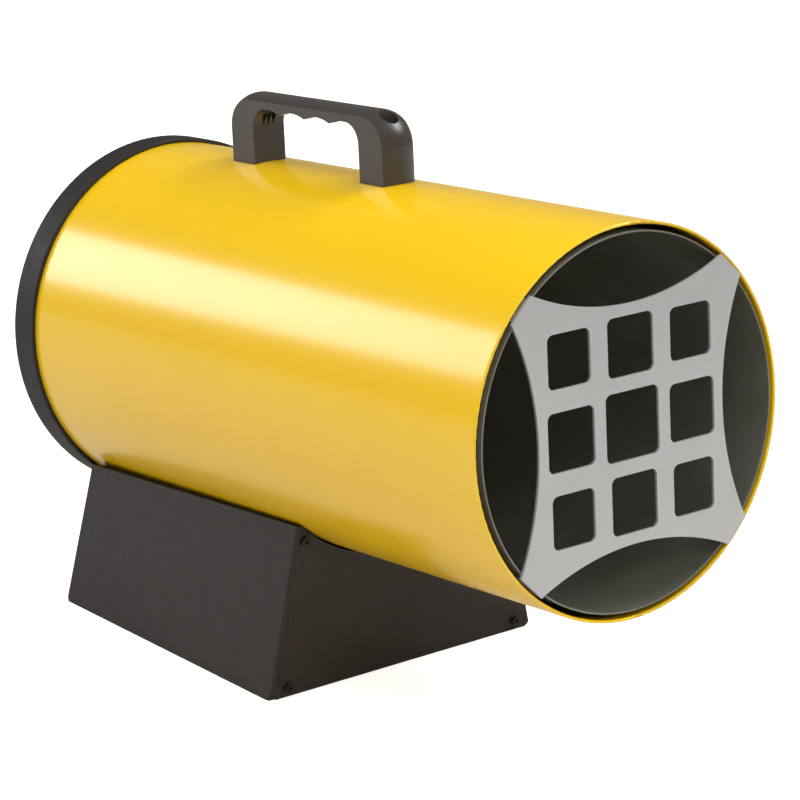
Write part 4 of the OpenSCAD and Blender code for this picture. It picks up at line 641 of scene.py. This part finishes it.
# studio: white floor, a big softbox behind on the left, a small one high on the right,
# a broad top light and a fill from the front; power in watts, roll in degrees
studio = {
    "floor": {"size": 8.0, "colour": paint(229, 227, 223), "rough": 0.9, "lift": 0.74},
    "key": {"at": (-1.36, 2.31, 1.1), "aim": (0, -0.06, 0.17), "roll": 34,
            "size": (1.35, 0.98), "power": 23, "glossy": True},
    "kicker": {"at": (0.96, -0.5, 1.35), "aim": (0, -0.05, 0.3), "roll": 0,
               "size": (0.6, 0.5), "power": 13, "glossy": True},
    "top": {"at": (-0.35, -0.2, 2.3), "aim": (0, -0.05, 0.1), "roll": 0,
            "size": (2.4, 2.4), "power": 33, "glossy": False},
    "fill": {"at": (-0.75, -1.6, 1.55), "aim": (0, -0.1, 0.15), "roll": 0,
             "size": (1.4, 1.2), "power": 14, "glossy": False},
    "sky": {"light": 0.34, "glossLow": 0.22, "glossHigh": 0.1, "ceiling": 0.55},
}


def makeFloor(spec):
    half = spec["size"] / 2
    mesh = bpy.data.meshes.new("floor")
    corners = [(-half, -half, 0), (half, -half, 0), (half, half, 0), (-half, half, 0)]
    mesh.from_pydata(corners, [], [(0, 1, 2, 3)])
    floor = bpy.data.objects.new("floor", mesh)
    bpy.context.scene.collection.objects.link(floor)
    mat = bpy.data.materials.new("paleFloor")
    mat.use_nodes = True
    tree = mat.node_tree
    shader = next(n for n in tree.nodes if n.type == "BSDF_PRINCIPLED")
    shader.inputs["Base Color"].default_value = spec["colour"]
    shader.inputs["Roughness"].default_value = spec["rough"]
    shader.inputs["Specular IOR Level"].default_value = 0.0
    out = next(n for n in tree.nodes if n.type == "OUTPUT_MATERIAL")
    # seen straight by the camera the floor is lifted towards white
    glow = addNode(tree, "ShaderNodeEmission", {"Color": (1, 1, 1, 1)})
    path = addNode(tree, "ShaderNodeLightPath")
    seen = addNode(tree, "ShaderNodeMath", {1: spec["lift"]}, operation="MULTIPLY")
    tree.links.new(path.outputs["Is Camera Ray"], seen.inputs[0])
    tree.links.new(seen.outputs["Value"], glow.inputs["Strength"])
    both = addNode(tree, "ShaderNodeAddShader")
    tree.links.new(shader.outputs["BSDF"], both.inputs[0])
    tree.links.new(glow.outputs["Emission"], both.inputs[1])
    tree.links.new(both.outputs["Shader"], out.inputs["Surface"])
    mesh.materials.append(mat)


def makeLamp(name, spec):
    data = bpy.data.lights.new(name, "AREA")
    data.shape = "RECTANGLE"
    data.size, data.size_y = spec["size"]
    data.energy = spec["power"]
    lamp = bpy.data.objects.new(name, data)
    lamp.location = spec["at"]
    lamp.rotation_euler = (Vector(spec["aim"]) - Vector(spec["at"])).to_track_quat("-Z", "Y").to_euler()
    lamp.rotation_euler.rotate_axis("Z", math.radians(spec["roll"]))
    lamp.visible_glossy = spec["glossy"]
    bpy.context.scene.collection.objects.link(lamp)


def makeSky(spec):
    world = bpy.data.worlds.new("studio")
    bpy.context.scene.world = world
    world.use_nodes = True
    tree = world.node_tree
    back = next(n for n in tree.nodes if n.type == "BACKGROUND")
    out = next(n for n in tree.nodes if n.type == "OUTPUT_WORLD")
    path = addNode(tree, "ShaderNodeLightPath")
    place = addNode(tree, "ShaderNodeTexCoord")
    split = addNode(tree, "ShaderNodeSeparateXYZ")
    tree.links.new(place.outputs["Generated"], split.inputs["Vector"])
    # what gloss sees: a pale horizon under a dim ceiling
    height = spread(tree, split.outputs["Z"], 0.0, spec["ceiling"], spec["glossLow"], spec["glossHigh"])
    gloss = addNode(tree, "ShaderNodeBackground")
    tree.links.new(height, gloss.inputs["Strength"])
    back.inputs["Strength"].default_value = spec["light"]
    white = addNode(tree, "ShaderNodeBackground", {"Strength": 1.0})
    pick = addNode(tree, "ShaderNodeMixShader")
    tree.links.new(path.outputs["Is Glossy Ray"], pick.inputs["Fac"])
    tree.links.new(back.outputs["Background"], pick.inputs[1])
    tree.links.new(gloss.outputs["Background"], pick.inputs[2])
    final = addNode(tree, "ShaderNodeMixShader")
    tree.links.new(path.outputs["Is Camera Ray"], final.inputs["Fac"])
    tree.links.new(pick.outputs["Shader"], final.inputs[1])
    tree.links.new(white.outputs["Background"], final.inputs[2])
    tree.links.new(final.outputs["Shader"], out.inputs["Surface"])
    for n in (back, gloss, white):
        n.inputs["Color"].default_value = (1, 1, 1, 1)


makeFloor(studio["floor"])
for name in ("key", "kicker", "top", "fill"):
    makeLamp(name, studio[name])
makeSky(studio["sky"])

# camera of the photograph
view = {"at": (-1.03855, -1.39045, 0.66042), "back": (-0.59776, -0.74572, 0.29425),
        "lens": 146.5, "sensor": 36, "near": 0.01}
cameraData = bpy.data.cameras.new("camera")
cameraData.lens = view["lens"]
cameraData.sensor_width = view["sensor"]
cameraData.clip_start = view["near"]
camera = bpy.data.objects.new("camera", cameraData)
camera.location = view["at"]
camera.rotation_euler = Vector([-c for c in view["back"]]).to_track_quat("-Z", "Y").to_euler()
bpy.context.scene.collection.objects.link(camera)
bpy.context.scene.camera = camera
bpy.context.scene.view_settings.view_transform = "Standard"
print("studio and camera set")
